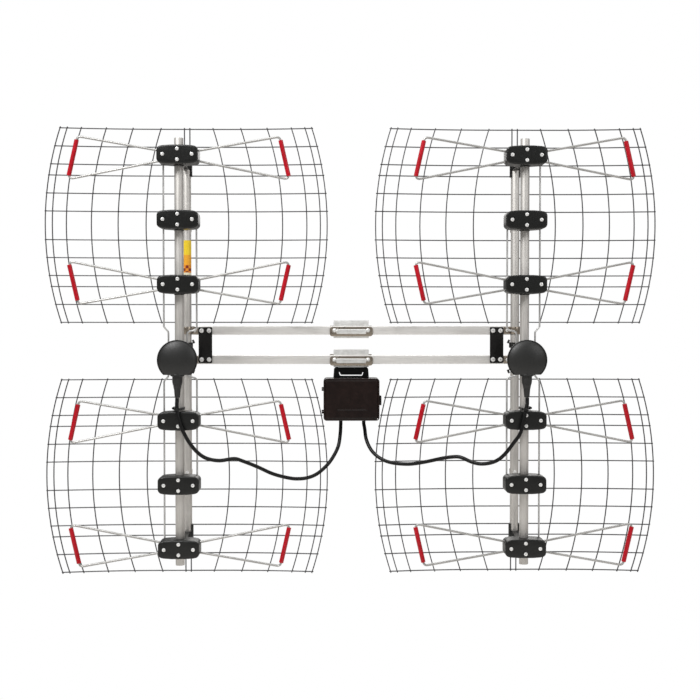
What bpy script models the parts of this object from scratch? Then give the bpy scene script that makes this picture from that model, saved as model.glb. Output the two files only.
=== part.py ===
"""Eight-bay bow-tie television antenna for a mast: two swivelling panels on a two-rail boom.

Metres, +Z up. The origin is on the mast's axis, at the height where the two panels are mirrored
top to bottom. The antenna looks towards -Y, and the mast passes behind the boom.
"""

import math

import bmesh
import bpy
from mathutils import Matrix, Vector

for old in list(bpy.data.objects):
    bpy.data.objects.remove(old, do_unlink=True)

# ---- driving dimensions, in metres ----

GAP = 0.0003                  # left between pieces that touch

# Boom: two square rails, the plates that tie them, and the clamps on the mast
RAIL_SIDE = 0.0159
RAIL_WALL = 0.0016
BOOM_LENGTH = 0.636
UPPER_RAIL_Z = 0.038
LOWER_RAIL_Z = -0.0165
TIE_PLATE_INSET = 0.0327      # from a panel's swivel axis back to the middle of its tie plate
TIE_PLATE_WIDTH = 0.025
TIE_PLATE_REACH = 0.0062      # past the rails' centre lines, upwards and downwards
TIE_PLATE_THICKNESS = 0.003
TIE_PLATE_CORNER = 0.002

# Mast clamp
MAST_TO_RAIL = 0.040          # from the mast's axis to the rails' centre lines
MAST_RADIUS = 0.0254          # the largest mast that the clamps take
MAST_SLACK = 0.0003
BOLT_RADIUS = 0.00305
BOLT_SPREAD = 0.031           # from the mast's axis to each clamp bolt, sideways
BOLT_END_Y = 0.046            # how far behind the mast's axis the bolts reach
BOLT_HEAD_RADIUS = 0.0050
BOLT_HEAD_HEIGHT = 0.0032
CLAMP_PLATE_WIDTH = 0.080
CLAMP_PLATE_HEIGHT = 0.0175
CLAMP_PLATE_THICKNESS = 0.0025
CLAMP_PLATE_DROP = 0.0022     # the plate sits a little below its rail's centre
CLAMP_PLATE_CORNER = 0.005
CLAMP_BEAD_LENGTH = 0.056
CLAMP_BEAD_HEIGHT = 0.0100
CLAMP_BEAD_RELIEF = 0.0014    # the bead stands this far out of the plate
SADDLE_WIDTH = 0.066
SADDLE_HEIGHT = 0.033
SADDLE_RISE = 0.0022          # and the saddle a little above it
SADDLE_WEB = 0.0027           # metal left between the rail and the bottom of the saddle's notch
SADDLE_DEPTH = 0.0217
JAW_THICKNESS = 0.003
JAW_HEIGHT = 0.0175
JAW_WIDTH = 0.080
JAW_EAR_Y = 0.0093            # the ears' front, behind the mast's axis
JAW_FLOOR_HALF = 0.007        # half the width of the jaw's flat floor
JAW_HOLE_SLACK = 0.0005
TOOTH_DEPTH = 0.0011
TEETH = 5                     # on each flank of a notch

# Panels: one behind the other, a rear tube that swivels on the boom and a front tube with the bays
PANEL_INSET = 0.0143          # from a rail's end back to the panel's swivel axis
TUBE_RADIUS = 0.00795
TUBE_WALL = 0.0012
TUBE_SPACING = 0.105          # from the rear tube's axis to the front tube's
FRONT_TUBE_HALF = 0.375
REAR_TUBE_SHORTER = 0.013     # at each end
TUBE_SIDES = 16

# Swivel straps, which hold the rear tubes on the rails
STRAP_THICKNESS = 0.002
STRAP_HEIGHT = 0.013
STRAP_INNER_EAR = 0.0193
STRAP_OUTER_EAR = 0.0135

# Bays
OUTER_BAY_INSET = 0.031       # from the front tube's end to the outer bay's centre
INNER_BAY_Z = 0.119
BLOCK_WIDTH = 0.072
BLOCK_HEIGHT = 0.033
BLOCK_END_HEIGHT = 0.028      # the blocks are lower at their two ends
BLOCK_TOP_HALF = 0.010        # half the width of a block's flat top
BLOCK_CORNER = 0.005
BLOCK_FACE_CHAMFER = 0.003
BLOCK_FRONT = 0.024           # from the front tube's axis to the block's face
BLOCK_SKIN = 0.00205          # the block's plastic behind the front tube
ARM_HALF_WIDTH = 0.006
ARM_HEIGHT = 0.019
CLIP_WALL = 0.0022
CLIP_OPENING = math.radians(110)

# Bow-tie elements
ELEMENT_RADIUS = 0.002
ELEMENT_ROOT = 0.0175         # from the tube's axis to the rod's end inside its block
ELEMENT_SOCKET_Z = 0.0096
SHORT_TIP = (0.1765, 0.034)   # sideways and up from the bay's centre
LONG_TIP = (0.1935, 0.041)
TIP_BEND = 0.007
ELEMENT_SIDES = 6

# Phase lines
PHASE_RADIUS = 0.0016
PHASE_X = 0.029               # from the front tube's axis, sideways
PHASE_OUTER_REACH = 0.006     # past the outer bay's centre
PHASE_INNER_SHORT = 0.012     # short of the outer bay's centre
PHASE_BALUN_Z = 0.036         # where the lines turn in above the balun
PHASE_LOWER_DROP = 0.006      # and as much lower again below it
PHASE_OUTER_JOG = 0.008
PHASE_INNER_JOG = 0.012
PHASE_CORNER = 0.006

# Balun
BALUN_Z = -0.0126
BALUN_RADIUS = 0.035
BALUN_CHORD = 0.0256          # the dome's flat lower edge, below its centre
BALUN_RIM = 0.031             # from the front tube's axis to the dome's rim
BALUN_CROWN = 0.0085
BALUN_SKIN = 0.00405          # the dome's plastic behind the front tube
BALUN_SIDES = 24
BALUN_CLIPS = ((-0.040, -0.027), (0.009, 0.023))  # lower and upper edge of each rear clip
BALUN_BRACKET_HALF = 0.020
BALUN_BRACKET_DEPTH = 0.003   # how far the bracket reaches into the dome
BOOT_STATIONS = (             # share of the way to the boot's tip, and the radius there
    (0.22, 0.0130), (0.30, 0.0122), (0.42, 0.0098), (0.62, 0.0085), (0.72, 0.0066), (1.0, 0.0044),
)
BOOT_ROOT_Y = -0.0215
BOOT_SIDES = 14
BOOT_TIP = Vector((0.001, -0.026, -0.078))  # outwards, forwards and down from the tube's axis

# Reflectors
WIRE_RADIUS = 0.0012
REFLECTOR_BOTTOM = 0.0531
ROW_SPACINGS = (0.0330, 0.0330, 0.0203, 0.0330, 0.0330, 0.0526)  # mirrored about the last
CENTRE_PAIR = 0.005           # from the middle to each of the two straight wires
COLUMN_PITCHES = (0.0715, 0.0514, 0.0486, 0.045, 0.025, 0.0125)
COLUMN_ARC_RADIUS = 0.580
SIDE_BEND_START = 0.060       # the sides come forward from here
SIDE_BEND = 0.014

# Combiner
CASE_WIDTH = 0.103
CASE_TOP = -0.050
CASE_BOTTOM = -0.128
CASE_BACK_Y = -0.028
CASE_SPLIT_Y = -0.066         # the lid's hinge is in front of the reflectors' edges
CASE_FRONT_Y = -0.080
CASE_WALL = 0.0022
CASE_CORNER = 0.005
CASE_RIM = 0.0015
CASE_FACE_LIP = 0.004         # width of the raised rim round the lid's face
RIB_RISE = 0.020              # from the case's lower edge to the lid's rib
RIB_HALF = 0.0275
RIB_HALF_HEIGHT = 0.0013
HINGE_REACH = 0.0019          # from the case's left side to the lid's hinge axis
HINGE_RADIUS = 0.0016
HINGE_TABS = (-0.070, -0.112)
HINGE_TAB_HEIGHT = 0.007
HINGE_SHARE = 0.47            # of a tab's height that the base's knuckle takes; the lid's takes as much
LATCH_BOTTOM = -0.100
LATCH_TOP = -0.082
LATCH_THICKNESS = 0.0034
LATCH_REACH = (0.006, 0.008)  # in front of and behind the split
HANGER_WIDTH = 0.064
HANGER_THICKNESS = 0.0025
HANGER_CHAMFER = 0.004
HANGER_FLARE = 0.0015         # the hanger is wider at its foot by this on each side
LUG_WIDTH = 0.005             # of the two lugs that lie along the mast's sides
LUG_LENGTH = 0.018
LUG_X = (-0.0299, 0.0249)
EXIT_X = (-0.0195, 0.0235)    # the two coax exits in the case's lower wall
EXIT_Y = -0.0375
COLLAR_RADIUS = 0.0052
COLLAR_LENGTH = 0.003

# Coaxial cables
COAX_RADIUS = 0.00335
COAX_STEP = 0.0165            # length of cable between two points of its solid
COAX_STRAIGHT = 0.005         # its straight length at each end
COAX_GAP = 0.0006             # between a cable's end and what it goes into

# ---- places that follow ----

PANEL_X = BOOM_LENGTH / 2 - PANEL_INSET
TIE_PLATE_X = PANEL_X - TIE_PLATE_INSET
REAR_TUBE_HALF = FRONT_TUBE_HALF - REAR_TUBE_SHORTER
OUTER_BAY_Z = FRONT_TUBE_HALF - OUTER_BAY_INSET
MIDDLE_BLOCK_Z = (OUTER_BAY_Z + INNER_BAY_Z) / 2
BLOCK_BACK = TUBE_RADIUS + BLOCK_SKIN
BALUN_BACK = TUBE_RADIUS + BALUN_SKIN
RAIL_Y = -MAST_TO_RAIL
RAIL_FRONT_Y = RAIL_Y - RAIL_SIDE / 2
RAIL_BACK_Y = RAIL_Y + RAIL_SIDE / 2
REAR_TUBE_Y = RAIL_FRONT_Y - GAP - TUBE_RADIUS
FRONT_TUBE_Y = REAR_TUBE_Y - TUBE_SPACING
BORE_RADIUS = TUBE_RADIUS + GAP
PHASE_Y = BLOCK_BACK + GAP + PHASE_RADIUS

# ---- materials ----


def material(name, colour, roughness, metallic=0.0):
    made = bpy.data.materials.new(name)
    made.use_nodes = True
    shader = made.node_tree.nodes["Principled BSDF"]
    shader.inputs["Base Color"].default_value = (*colour, 1.0)
    shader.inputs["Roughness"].default_value = roughness
    shader.inputs["Metallic"].default_value = metallic
    made.diffuse_color = (*colour, 1.0)
    return made


ALUMINIUM = material("aluminium", (0.62, 0.60, 0.57), 0.35, 1.0)
ROD = material("element_rod", (0.80, 0.80, 0.79), 0.4, 0.6)
PHASE_ROD = material("phase_rod", (0.66, 0.66, 0.66), 0.4, 0.8)
ZINC = material("zinc_steel", (0.50, 0.46, 0.40), 0.4, 1.0)
BLACK_STEEL = material("black_steel", (0.03, 0.03, 0.03), 0.45, 0.3)
BLACK_PLASTIC = material("black_plastic", (0.02, 0.02, 0.019), 0.5)
CASE_PLASTIC = material("case_plastic", (0.022, 0.014, 0.012), 0.3)
RUBBER = material("cable_rubber", (0.012, 0.012, 0.012), 0.55)
WIRE = material("reflector_wire", (0.11, 0.11, 0.115), 0.45, 0.7)

# ---- shapes ----


def finished(bm, smooth_angle=35):
    """The mesh made from bm, closed, facing out, and smooth where it is round."""
    bmesh.ops.remove_doubles(bm, verts=bm.verts, dist=1e-6)
    bmesh.ops.recalc_face_normals(bm, faces=bm.faces)
    mesh = bpy.data.meshes.new("shape")
    bm.to_mesh(mesh)
    bm.free()
    mesh.shade_smooth()
    mesh.set_sharp_from_angle(angle=math.radians(smooth_angle))
    return mesh


def lofted(rings, closed=False):
    """Skin rings of equally many points: capped at both ends, or joined last to first."""
    bm = bmesh.new()
    loops = [[bm.verts.new(point) for point in ring] for ring in rings]
    count = len(loops[0])
    pairs = list(zip(loops, loops[1:]))
    if closed:
        pairs.append((loops[-1], loops[0]))
    else:
        bm.faces.new(loops[0])
        bm.faces.new(loops[-1])
    for near, far in pairs:
        for i in range(count):
            j = (i + 1) % count
            bm.faces.new((near[i], near[j], far[j], far[i]))
    return finished(bm)


def circle(radius, sides, height=0.0, centre=(0.0, 0.0)):
    turns = [2 * math.pi * i / sides for i in range(sides)]
    return [
        Vector((centre[0] + radius * math.cos(a), centre[1] + radius * math.sin(a), height))
        for a in turns
    ]


def cylinder(radius, low, high, sides=16, centre=(0.0, 0.0)):
    """A solid cylinder along Z."""
    return lofted([circle(radius, sides, low, centre), circle(radius, sides, high, centre)])


def pipe(radius, wall, low, high, sides=TUBE_SIDES):
    """A tube along Z, open at both ends."""
    inside = radius - wall
    return lofted(
        [circle(radius, sides, low), circle(radius, sides, high),
         circle(inside, sides, high), circle(inside, sides, low)],
        closed=True,
    )


def prism(outline, low, high):
    """An outline in XY, extruded along Z."""
    return lofted([[Vector((x, y, z)) for x, y in outline] for z in (low, high)])


def box(low, high):
    (x0, y0, z0), (x1, y1, z1) = low, high
    return prism([(x0, y0), (x1, y0), (x1, y1), (x0, y1)], z0, z1)


def rounded_box_ring(half_x, half_z, corner, y, centre_z=0.0, steps=3):
    """A rectangle with round corners, standing in the XZ plane at y."""
    ring = []
    for quarter, (sx, sz) in enumerate(((1, 1), (-1, 1), (-1, -1), (1, -1))):
        cx, cz = sx * (half_x - corner), sz * (half_z - corner)
        for step in range(steps + 1):
            a = math.pi / 2 * (quarter + step / steps)
            ring.append(Vector((cx + corner * math.cos(a), y, centre_z + cz + corner * math.sin(a))))
    return ring


def arc(radius, start, end, steps):
    """Points in XY on an arc about the origin, from one angle to another, ends included."""
    angles = [start + (end - start) * i / steps for i in range(steps + 1)]
    return [(radius * math.cos(a), radius * math.sin(a)) for a in angles]


def along_y(mesh):
    """Turn a mesh that was made along Z so that its +Z points to -Y and its +Y to +Z."""
    mesh.transform(Matrix.Rotation(math.radians(90), 4, "X"))
    return mesh


def along_x(mesh):
    """Turn a mesh that was made along Z so that its +Z points to +X."""
    mesh.transform(Matrix.Rotation(math.radians(90), 4, "Y"))
    return mesh


def moved(mesh, offset):
    mesh.transform(Matrix.Translation(offset))
    return mesh


def rounded_path(points, radius, steps):
    """The path through points, with each inner corner replaced by an arc of this radius."""
    path = [points[0]]
    for before, corner, after in zip(points, points[1:], points[2:]):
        back, on = (before - corner).normalized(), (after - corner).normalized()
        half = back.angle(on) / 2
        reach = min(radius / math.tan(half), (before - corner).length * 0.45,
                    (after - corner).length * 0.45)
        start, end = corner + back * reach, corner + on * reach
        for step in range(steps + 1):
            t = step / steps
            path.append(start * (1 - t) ** 2 + corner * 2 * t * (1 - t) + end * t ** 2)
    path.append(points[-1])
    return path


def rod(path, radius, sides):
    """A solid rod along a path, its sections carried along without twisting."""
    rings = []
    side = None
    for i, point in enumerate(path):
        ahead = path[min(i + 1, len(path) - 1)] - point
        behind = point - path[max(i - 1, 0)]
        direction = (ahead.normalized() + behind.normalized()).normalized()
        if side is None:
            side = direction.cross(Vector((0, 1, 0))).normalized()
        side = (side - direction * side.dot(direction)).normalized()
        up = direction.cross(side)
        turns = [2 * math.pi * k / sides for k in range(sides)]
        rings.append([point + (side * math.cos(a) + up * math.sin(a)) * radius for a in turns])
    return lofted(rings)


def combined(operation, base, *others):
    """A Boolean of meshes: base with each of the others, one after the other."""
    holder = bpy.data.objects.new("holder", base)
    bpy.context.scene.collection.objects.link(holder)
    tools = []
    for other in others:
        tool = bpy.data.objects.new("tool", other)
        bpy.context.scene.collection.objects.link(tool)
        tools.append(tool)
        step = holder.modifiers.new("step", "BOOLEAN")
        step.operation = operation
        step.solver = "EXACT"
        step.object = tool
    bpy.context.view_layer.update()
    evaluated = holder.evaluated_get(bpy.context.evaluated_depsgraph_get())
    result = bpy.data.meshes.new_from_object(evaluated)
    for helper in (holder, *tools):
        bpy.data.objects.remove(helper, do_unlink=True)
    bm = bmesh.new()
    bm.from_mesh(result)
    return finished(bm)


def union(base, *others):
    return combined("UNION", base, *others)


def cut(base, *others):
    return combined("DIFFERENCE", base, *others)


def empty(name, place):
    made = bpy.data.objects.new(name, None)
    made.empty_display_size = 0.05
    made.location = place
    bpy.context.scene.collection.objects.link(made)
    return made


def piece(name, mesh, finish, parent, place=(0, 0, 0)):
    """One sub-part: its mesh, in its own frame, set at a place in its parent's frame."""
    if mesh.users:
        mesh = mesh.copy()
    mesh.name = name
    mesh.materials.clear()
    mesh.materials.append(finish)
    made = bpy.data.objects.new(name, mesh)
    made.location = place
    made.parent = parent
    bpy.context.scene.collection.objects.link(made)
    return made


# ---- boom ----

boom = empty("boom_frame", (0, 0, 0))
RAILS = (("upper", UPPER_RAIL_Z), ("lower", LOWER_RAIL_Z))


def rail():
    """A square tube along X, drilled for the two clamp bolts."""
    half, inside = RAIL_SIDE / 2, RAIL_SIDE / 2 - RAIL_WALL
    ends = (-BOOM_LENGTH / 2, BOOM_LENGTH / 2)

    def section(x, h):
        return [Vector((x, h * sy, h * sz)) for sy, sz in ((1, 1), (-1, 1), (-1, -1), (1, -1))]

    tube = lofted(
        [section(ends[0], half), section(ends[1], half),
         section(ends[1], inside), section(ends[0], inside)],
        closed=True,
    )
    holes = [
        moved(along_y(cylinder(BOLT_RADIUS + GAP, -RAIL_SIDE, RAIL_SIDE, 12)), (x, 0, 0))
        for x in (-BOLT_SPREAD, BOLT_SPREAD)
    ]
    return cut(tube, *holes)


def clamp_plate():
    """The plate in front of a rail, with its bead and its two captive bolts.

    Its frame is at the bolts' height, on the plate's back face."""
    half_x, half_z, corner = CLAMP_PLATE_WIDTH / 2, CLAMP_PLATE_HEIGHT / 2, CLAMP_PLATE_CORNER
    outline = [
        (half_x - corner, half_z), (half_x, half_z - corner), (half_x, corner - half_z),
        (half_x - corner, -half_z), (corner - half_x, -half_z), (-half_x, corner - half_z),
        (-half_x, half_z - corner), (corner - half_x, half_z),
    ]
    plate = moved(along_y(prism(outline, 0, CLAMP_PLATE_THICKNESS)), (0, 0, -CLAMP_PLATE_DROP))
    bead_x, bead_z = CLAMP_BEAD_LENGTH / 2, CLAMP_BEAD_HEIGHT / 2
    bead = lofted([
        rounded_box_ring(bead_x, bead_z, 0.003, -0.001, -CLAMP_PLATE_DROP, 2),
        rounded_box_ring(bead_x - 0.002, bead_z - 0.002, 0.002,
                         -CLAMP_PLATE_THICKNESS - CLAMP_BEAD_RELIEF, -CLAMP_PLATE_DROP, 2),
    ])
    bolts = []
    for x in (-BOLT_SPREAD, BOLT_SPREAD):
        front = CLAMP_PLATE_THICKNESS + BOLT_HEAD_HEIGHT
        back = BOLT_END_Y - (RAIL_FRONT_Y - GAP)
        bolts.append(moved(along_y(cylinder(BOLT_RADIUS, -back, 0.001, 12)), (x, 0, 0)))
        bolts.append(moved(along_y(cylinder(BOLT_HEAD_RADIUS, 0.001, front, 6)), (x, 0, 0)))
    return union(plate, bead, *bolts)


def toothed(start, end, outward):
    """A saw-toothed line from start to end, its roots pushed outward from the mast."""
    points = []
    for tooth in range(TEETH):
        for share, push in ((0.0, 0.0), (0.5, TOOTH_DEPTH)):
            t = (tooth + share) / TEETH
            points.append((
                start[0] + (end[0] - start[0]) * t + outward[0] * push,
                start[1] + (end[1] - start[1]) * t + outward[1] * push,
            ))
    return points + [end]


# Both notches have flanks at 45 degrees that touch the largest mast.
NOTCH_SUM = (MAST_RADIUS + MAST_SLACK) * math.sqrt(2)
SLOPE = math.sqrt(0.5)


def saddle():
    """The toothed block between a rail and the mast, notched for the mast and both bolts."""
    half, front = SADDLE_WIDTH / 2, RAIL_BACK_Y + GAP
    root, back = front + SADDLE_WEB, front + SADDLE_DEPTH
    wide, narrow = NOTCH_SUM + back, NOTCH_SUM + root
    outline = [(-half, front), (half, front), (half, back)]
    outline += toothed((wide, back), (narrow, root), (SLOPE, -SLOPE))
    outline += toothed((-narrow, root), (-wide, back), (-SLOPE, -SLOPE))
    outline += [(-half, back)]
    block = prism(outline, -SADDLE_HEIGHT / 2, SADDLE_HEIGHT / 2)
    notches = [
        moved(along_y(cylinder(BOLT_RADIUS + 2 * GAP, -0.02, 0.06, 12)), (x, 0, -SADDLE_RISE))
        for x in (-BOLT_SPREAD, BOLT_SPREAD)
    ]
    return cut(block, *notches)


def jaw():
    """The toothed strap behind the mast. Its frame is on the mast's axis."""
    ear = JAW_WIDTH / 2
    ear_y, foot_y = JAW_EAR_Y, NOTCH_SUM - JAW_FLOOR_HALF
    knee, toe = NOTCH_SUM - ear_y, JAW_FLOOR_HALF
    lean = JAW_THICKNESS * math.tan(math.radians(22.5))
    outline = [(-ear, ear_y)]
    outline += toothed((-knee, ear_y), (-toe, foot_y), (-SLOPE, SLOPE))[:-1]
    outline += [(-toe, foot_y)]
    outline += toothed((toe, foot_y), (knee, ear_y), (SLOPE, SLOPE))
    outline += [
        (ear, ear_y), (ear, ear_y + JAW_THICKNESS), (knee + lean, ear_y + JAW_THICKNESS),
        (toe + lean, foot_y + JAW_THICKNESS), (-toe - lean, foot_y + JAW_THICKNESS),
        (-knee - lean, ear_y + JAW_THICKNESS), (-ear, ear_y + JAW_THICKNESS),
    ]
    strap = prism(outline, -JAW_HEIGHT / 2, JAW_HEIGHT / 2)
    holes = [
        moved(along_y(cylinder(BOLT_RADIUS + JAW_HOLE_SLACK, -0.04, 0.01, 12)), (x, 0, 0))
        for x in (-BOLT_SPREAD, BOLT_SPREAD)
    ]
    return cut(strap, *holes)


def tie_plate():
    """The black plate that ties both rails together next to a panel. Its back face is at y 0."""
    half_z = (UPPER_RAIL_Z - LOWER_RAIL_Z) / 2 + TIE_PLATE_REACH
    rings = [
        rounded_box_ring(TIE_PLATE_WIDTH / 2, half_z, TIE_PLATE_CORNER, y)
        for y in (0, -TIE_PLATE_THICKNESS)
    ]
    return lofted(rings)


def swivel_strap(side):
    """A strap round the front of a rear tube, its ears against the rail; side is away from the mast."""
    inside, outside = BORE_RADIUS, BORE_RADIUS + STRAP_THICKNESS
    back = TUBE_RADIUS
    front = back - STRAP_THICKNESS
    steps = 10
    outline = [(-STRAP_INNER_EAR, front), (-outside, front)]
    outline += arc(outside, math.pi, 2 * math.pi, steps)
    outline += [(outside, front), (STRAP_OUTER_EAR, front), (STRAP_OUTER_EAR, back), (inside, back)]
    outline += arc(inside, 2 * math.pi, math.pi, steps)
    outline += [(-inside, back), (-STRAP_INNER_EAR, back)]
    return prism([(side * x, y) for x, y in outline], -STRAP_HEIGHT / 2, STRAP_HEIGHT / 2)


rail_mesh, plate_mesh, saddle_mesh, jaw_mesh = rail(), clamp_plate(), saddle(), jaw()
for level, height in RAILS:
    piece(f"rail_{level}", rail_mesh, ALUMINIUM, boom, (0, RAIL_Y, height))
    piece(f"clamp_plate_{level}", plate_mesh, ZINC, boom, (0, RAIL_FRONT_Y - GAP, height))
    piece(f"saddle_{level}", saddle_mesh, ZINC, boom, (0, 0, height + SADDLE_RISE))
    slide = empty(f"{level}_jaw_slide", (0, 0, height))
    piece(f"jaw_{level}", jaw_mesh, ZINC, slide)

for side_name, side in (("left", -1), ("right", 1)):
    middle_z = (UPPER_RAIL_Z + LOWER_RAIL_Z) / 2
    place = (side * TIE_PLATE_X, RAIL_FRONT_Y - GAP, middle_z)
    piece(f"tie_plate_{side_name}", tie_plate(), BLACK_STEEL, boom, place)
    strap_mesh = swivel_strap(side)
    for level, height in RAILS:
        place = (side * PANEL_X, REAR_TUBE_Y, height)
        piece(f"swivel_strap_{side_name}_{level}", strap_mesh, ZINC, boom, place)

# ---- combiner ----

CASE_HALF = CASE_WIDTH / 2
CASE_HALF_HEIGHT = (CASE_TOP - CASE_BOTTOM) / 2
CASE_Z = (CASE_TOP + CASE_BOTTOM) / 2
HINGE_X = -CASE_HALF - HINGE_REACH


def case_ring(inset, y):
    corner = max(CASE_CORNER - inset, 0.0015)
    return rounded_box_ring(CASE_HALF - inset, CASE_HALF_HEIGHT - inset, corner, y, CASE_Z)


def hinge_tabs(low_share, high_share, arm_low_y, arm_high_y):
    """Knuckles on the lid's axis with arms to the case; shares of the tab's height from its foot."""
    shapes = []
    for tab_z in HINGE_TABS:
        foot = tab_z - HINGE_TAB_HEIGHT / 2
        low, high = foot + low_share * HINGE_TAB_HEIGHT, foot + high_share * HINGE_TAB_HEIGHT
        shapes.append(cylinder(HINGE_RADIUS, low, high, 16, (HINGE_X, CASE_SPLIT_Y)))
        shapes.append(box((HINGE_X, arm_low_y, low), (-CASE_HALF + 0.001, arm_high_y, high)))
    return shapes


def combiner_base():
    """The case's rear half: a tray open to the front, its hanger, two collars and hinge knuckles."""
    front = CASE_SPLIT_Y + GAP / 2
    tray = lofted([
        case_ring(0.001, CASE_BACK_Y), case_ring(0, CASE_BACK_Y - 0.001), case_ring(0, front),
        case_ring(CASE_WALL, front), case_ring(CASE_WALL, CASE_BACK_Y - CASE_WALL),
    ])
    saddle_foot = LOWER_RAIL_Z + SADDLE_RISE - SADDLE_HEIGHT / 2
    top = saddle_foot - GAP
    hanger_front = RAIL_BACK_Y + GAP
    half, chamfer, foot = HANGER_WIDTH / 2, HANGER_CHAMFER, HANGER_WIDTH / 2 + HANGER_FLARE
    outline = [
        (foot, CASE_TOP - 0.002), (half, top - chamfer), (half - chamfer, top),
        (chamfer - half, top), (-half, top - chamfer), (-foot, CASE_TOP - 0.002),
    ]
    hanger = moved(along_y(prism(outline, 0, HANGER_THICKNESS)),
                   (0, hanger_front + HANGER_THICKNESS, 0))
    shapes = [hanger]
    for x in LUG_X:
        shapes.append(box((x, hanger_front + 0.001, top - HANGER_THICKNESS),
                          (x + LUG_WIDTH, hanger_front + LUG_LENGTH, top)))
    for x in EXIT_X:
        shapes.append(cylinder(COLLAR_RADIUS, CASE_BOTTOM - COLLAR_LENGTH, CASE_BOTTOM + 0.001,
                               16, (x, EXIT_Y)))
    shapes += hinge_tabs(0.0, HINGE_SHARE, CASE_SPLIT_Y + GAP / 2, CASE_SPLIT_Y + HINGE_RADIUS)
    return union(tray, *shapes)


def combiner_lid():
    """The case's front half, with its raised rim, rib, latch and hinge knuckles."""
    back = CASE_SPLIT_Y - GAP / 2
    face = CASE_FRONT_Y + CASE_RIM
    shell = lofted([
        case_ring(CASE_WALL, face + CASE_WALL), case_ring(CASE_WALL, back), case_ring(0, back),
        case_ring(0, face), case_ring(CASE_RIM, CASE_FRONT_Y), case_ring(CASE_FACE_LIP, CASE_FRONT_Y),
        case_ring(CASE_FACE_LIP + CASE_RIM, face),
    ])
    rib_z = CASE_BOTTOM + RIB_RISE
    rib = lofted([
        rounded_box_ring(RIB_HALF, RIB_HALF_HEIGHT, 0.0012, face + 0.0005, rib_z, 2),
        rounded_box_ring(RIB_HALF - 0.0005, RIB_HALF_HEIGHT / 2, 0.0005, face - 0.0009, rib_z, 2),
    ])
    latch_front, latch_back = CASE_SPLIT_Y - LATCH_REACH[0], CASE_SPLIT_Y + LATCH_REACH[1]
    latch_inside = CASE_HALF + 0.0005
    latch = box((latch_inside, latch_front, LATCH_BOTTOM),
                (latch_inside + LATCH_THICKNESS, latch_back, LATCH_TOP))
    latch_root = box((CASE_HALF - 0.001, latch_front, LATCH_BOTTOM + 0.001),
                     (CASE_HALF + 0.001, CASE_SPLIT_Y - 0.001, LATCH_TOP - 0.001))
    tabs = hinge_tabs(1 - HINGE_SHARE, 1.0, CASE_SPLIT_Y - HINGE_RADIUS, CASE_SPLIT_Y - GAP / 2)
    return union(shell, rib, latch_root, latch, *tabs)


piece("combiner_base", combiner_base(), CASE_PLASTIC, boom)
lid_hinge = empty("combiner_lid_hinge", (HINGE_X, CASE_SPLIT_Y, CASE_Z))
lid_mesh = moved(combiner_lid(), (-HINGE_X, -CASE_SPLIT_Y, -CASE_Z))
piece("combiner_lid", lid_mesh, CASE_PLASTIC, lid_hinge)

# ---- panels ----


def block_ring(inset, y):
    """A block's outline in the XZ plane: highest in the middle, lower and rounded at its ends."""
    half_x, high, low = (size / 2 - inset for size in (BLOCK_WIDTH, BLOCK_HEIGHT, BLOCK_END_HEIGHT))
    corner, cut_in = BLOCK_CORNER, BLOCK_CORNER * (1 - SLOPE)
    quarter = [(half_x, low - corner), (half_x - cut_in, low - cut_in), (half_x - corner, low),
               (BLOCK_TOP_HALF, high)]
    outline = quarter + [(-x, z) for x, z in reversed(quarter)]
    outline += [(-x, -z) for x, z in quarter] + [(x, -z) for x, z in reversed(quarter)]
    return [Vector((x, y, z)) for x, z in outline]


def rear_clip(low, high):
    """The open clip round the rear tube, seen from the front tube's axis."""
    outside = BORE_RADIUS + CLIP_WALL
    start = math.pi / 2 + CLIP_OPENING / 2
    end = math.pi / 2 - CLIP_OPENING / 2 + 2 * math.pi
    outline = arc(outside, start, end, 12) + arc(BORE_RADIUS, end, start, 12)
    return moved(prism(outline, low, high), (0, TUBE_SPACING, 0))


def rear_arm(low, high):
    reach = TUBE_SPACING - BORE_RADIUS - CLIP_WALL / 3
    return box((-ARM_HALF_WIDTH, BLOCK_BACK - 0.002, low), (ARM_HALF_WIDTH, reach, high))


def insulator(with_arm):
    """A block on the front tube with four sockets for rods, and an arm to the rear tube if asked."""
    block = lofted([
        block_ring(BLOCK_FACE_CHAMFER, -BLOCK_FRONT), block_ring(0, BLOCK_FACE_CHAMFER - BLOCK_FRONT),
        block_ring(0, BLOCK_BACK),
    ])
    if with_arm:
        half = ARM_HEIGHT / 2
        block = union(block, rear_arm(-half, half), rear_clip(-half, half))
    tools = [cylinder(BORE_RADIUS, -0.03, 0.03, TUBE_SIDES)]
    for sx in (-1, 1):
        for sz in (-1, 1):
            low, high = sorted((sx * (ELEMENT_ROOT - 2 * GAP), sx * BLOCK_WIDTH))
            socket = along_x(cylinder(ELEMENT_RADIUS + GAP, low, high, ELEMENT_SIDES))
            tools.append(moved(socket, (0, 0, sz * ELEMENT_SOCKET_Z)))
    return cut(block, *tools)


def element(side, short_up):
    """One closed bow-tie loop's rod, from one socket round its tip to the other socket."""
    up, down = (SHORT_TIP, LONG_TIP) if short_up else (LONG_TIP, SHORT_TIP)
    mouth = BLOCK_WIDTH / 2 + 0.001
    flat = [(mouth, ELEMENT_SOCKET_Z), up, (down[0], -down[1]), (mouth, -ELEMENT_SOCKET_Z)]
    loop = rounded_path([Vector((side * x, 0, z)) for x, z in flat], TIP_BEND, 2)
    roots = [Vector((side * ELEMENT_ROOT, 0, z)) for z in (ELEMENT_SOCKET_Z, -ELEMENT_SOCKET_Z)]
    return rod([roots[0], *loop, roots[1]], ELEMENT_RADIUS, ELEMENT_SIDES)


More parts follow.
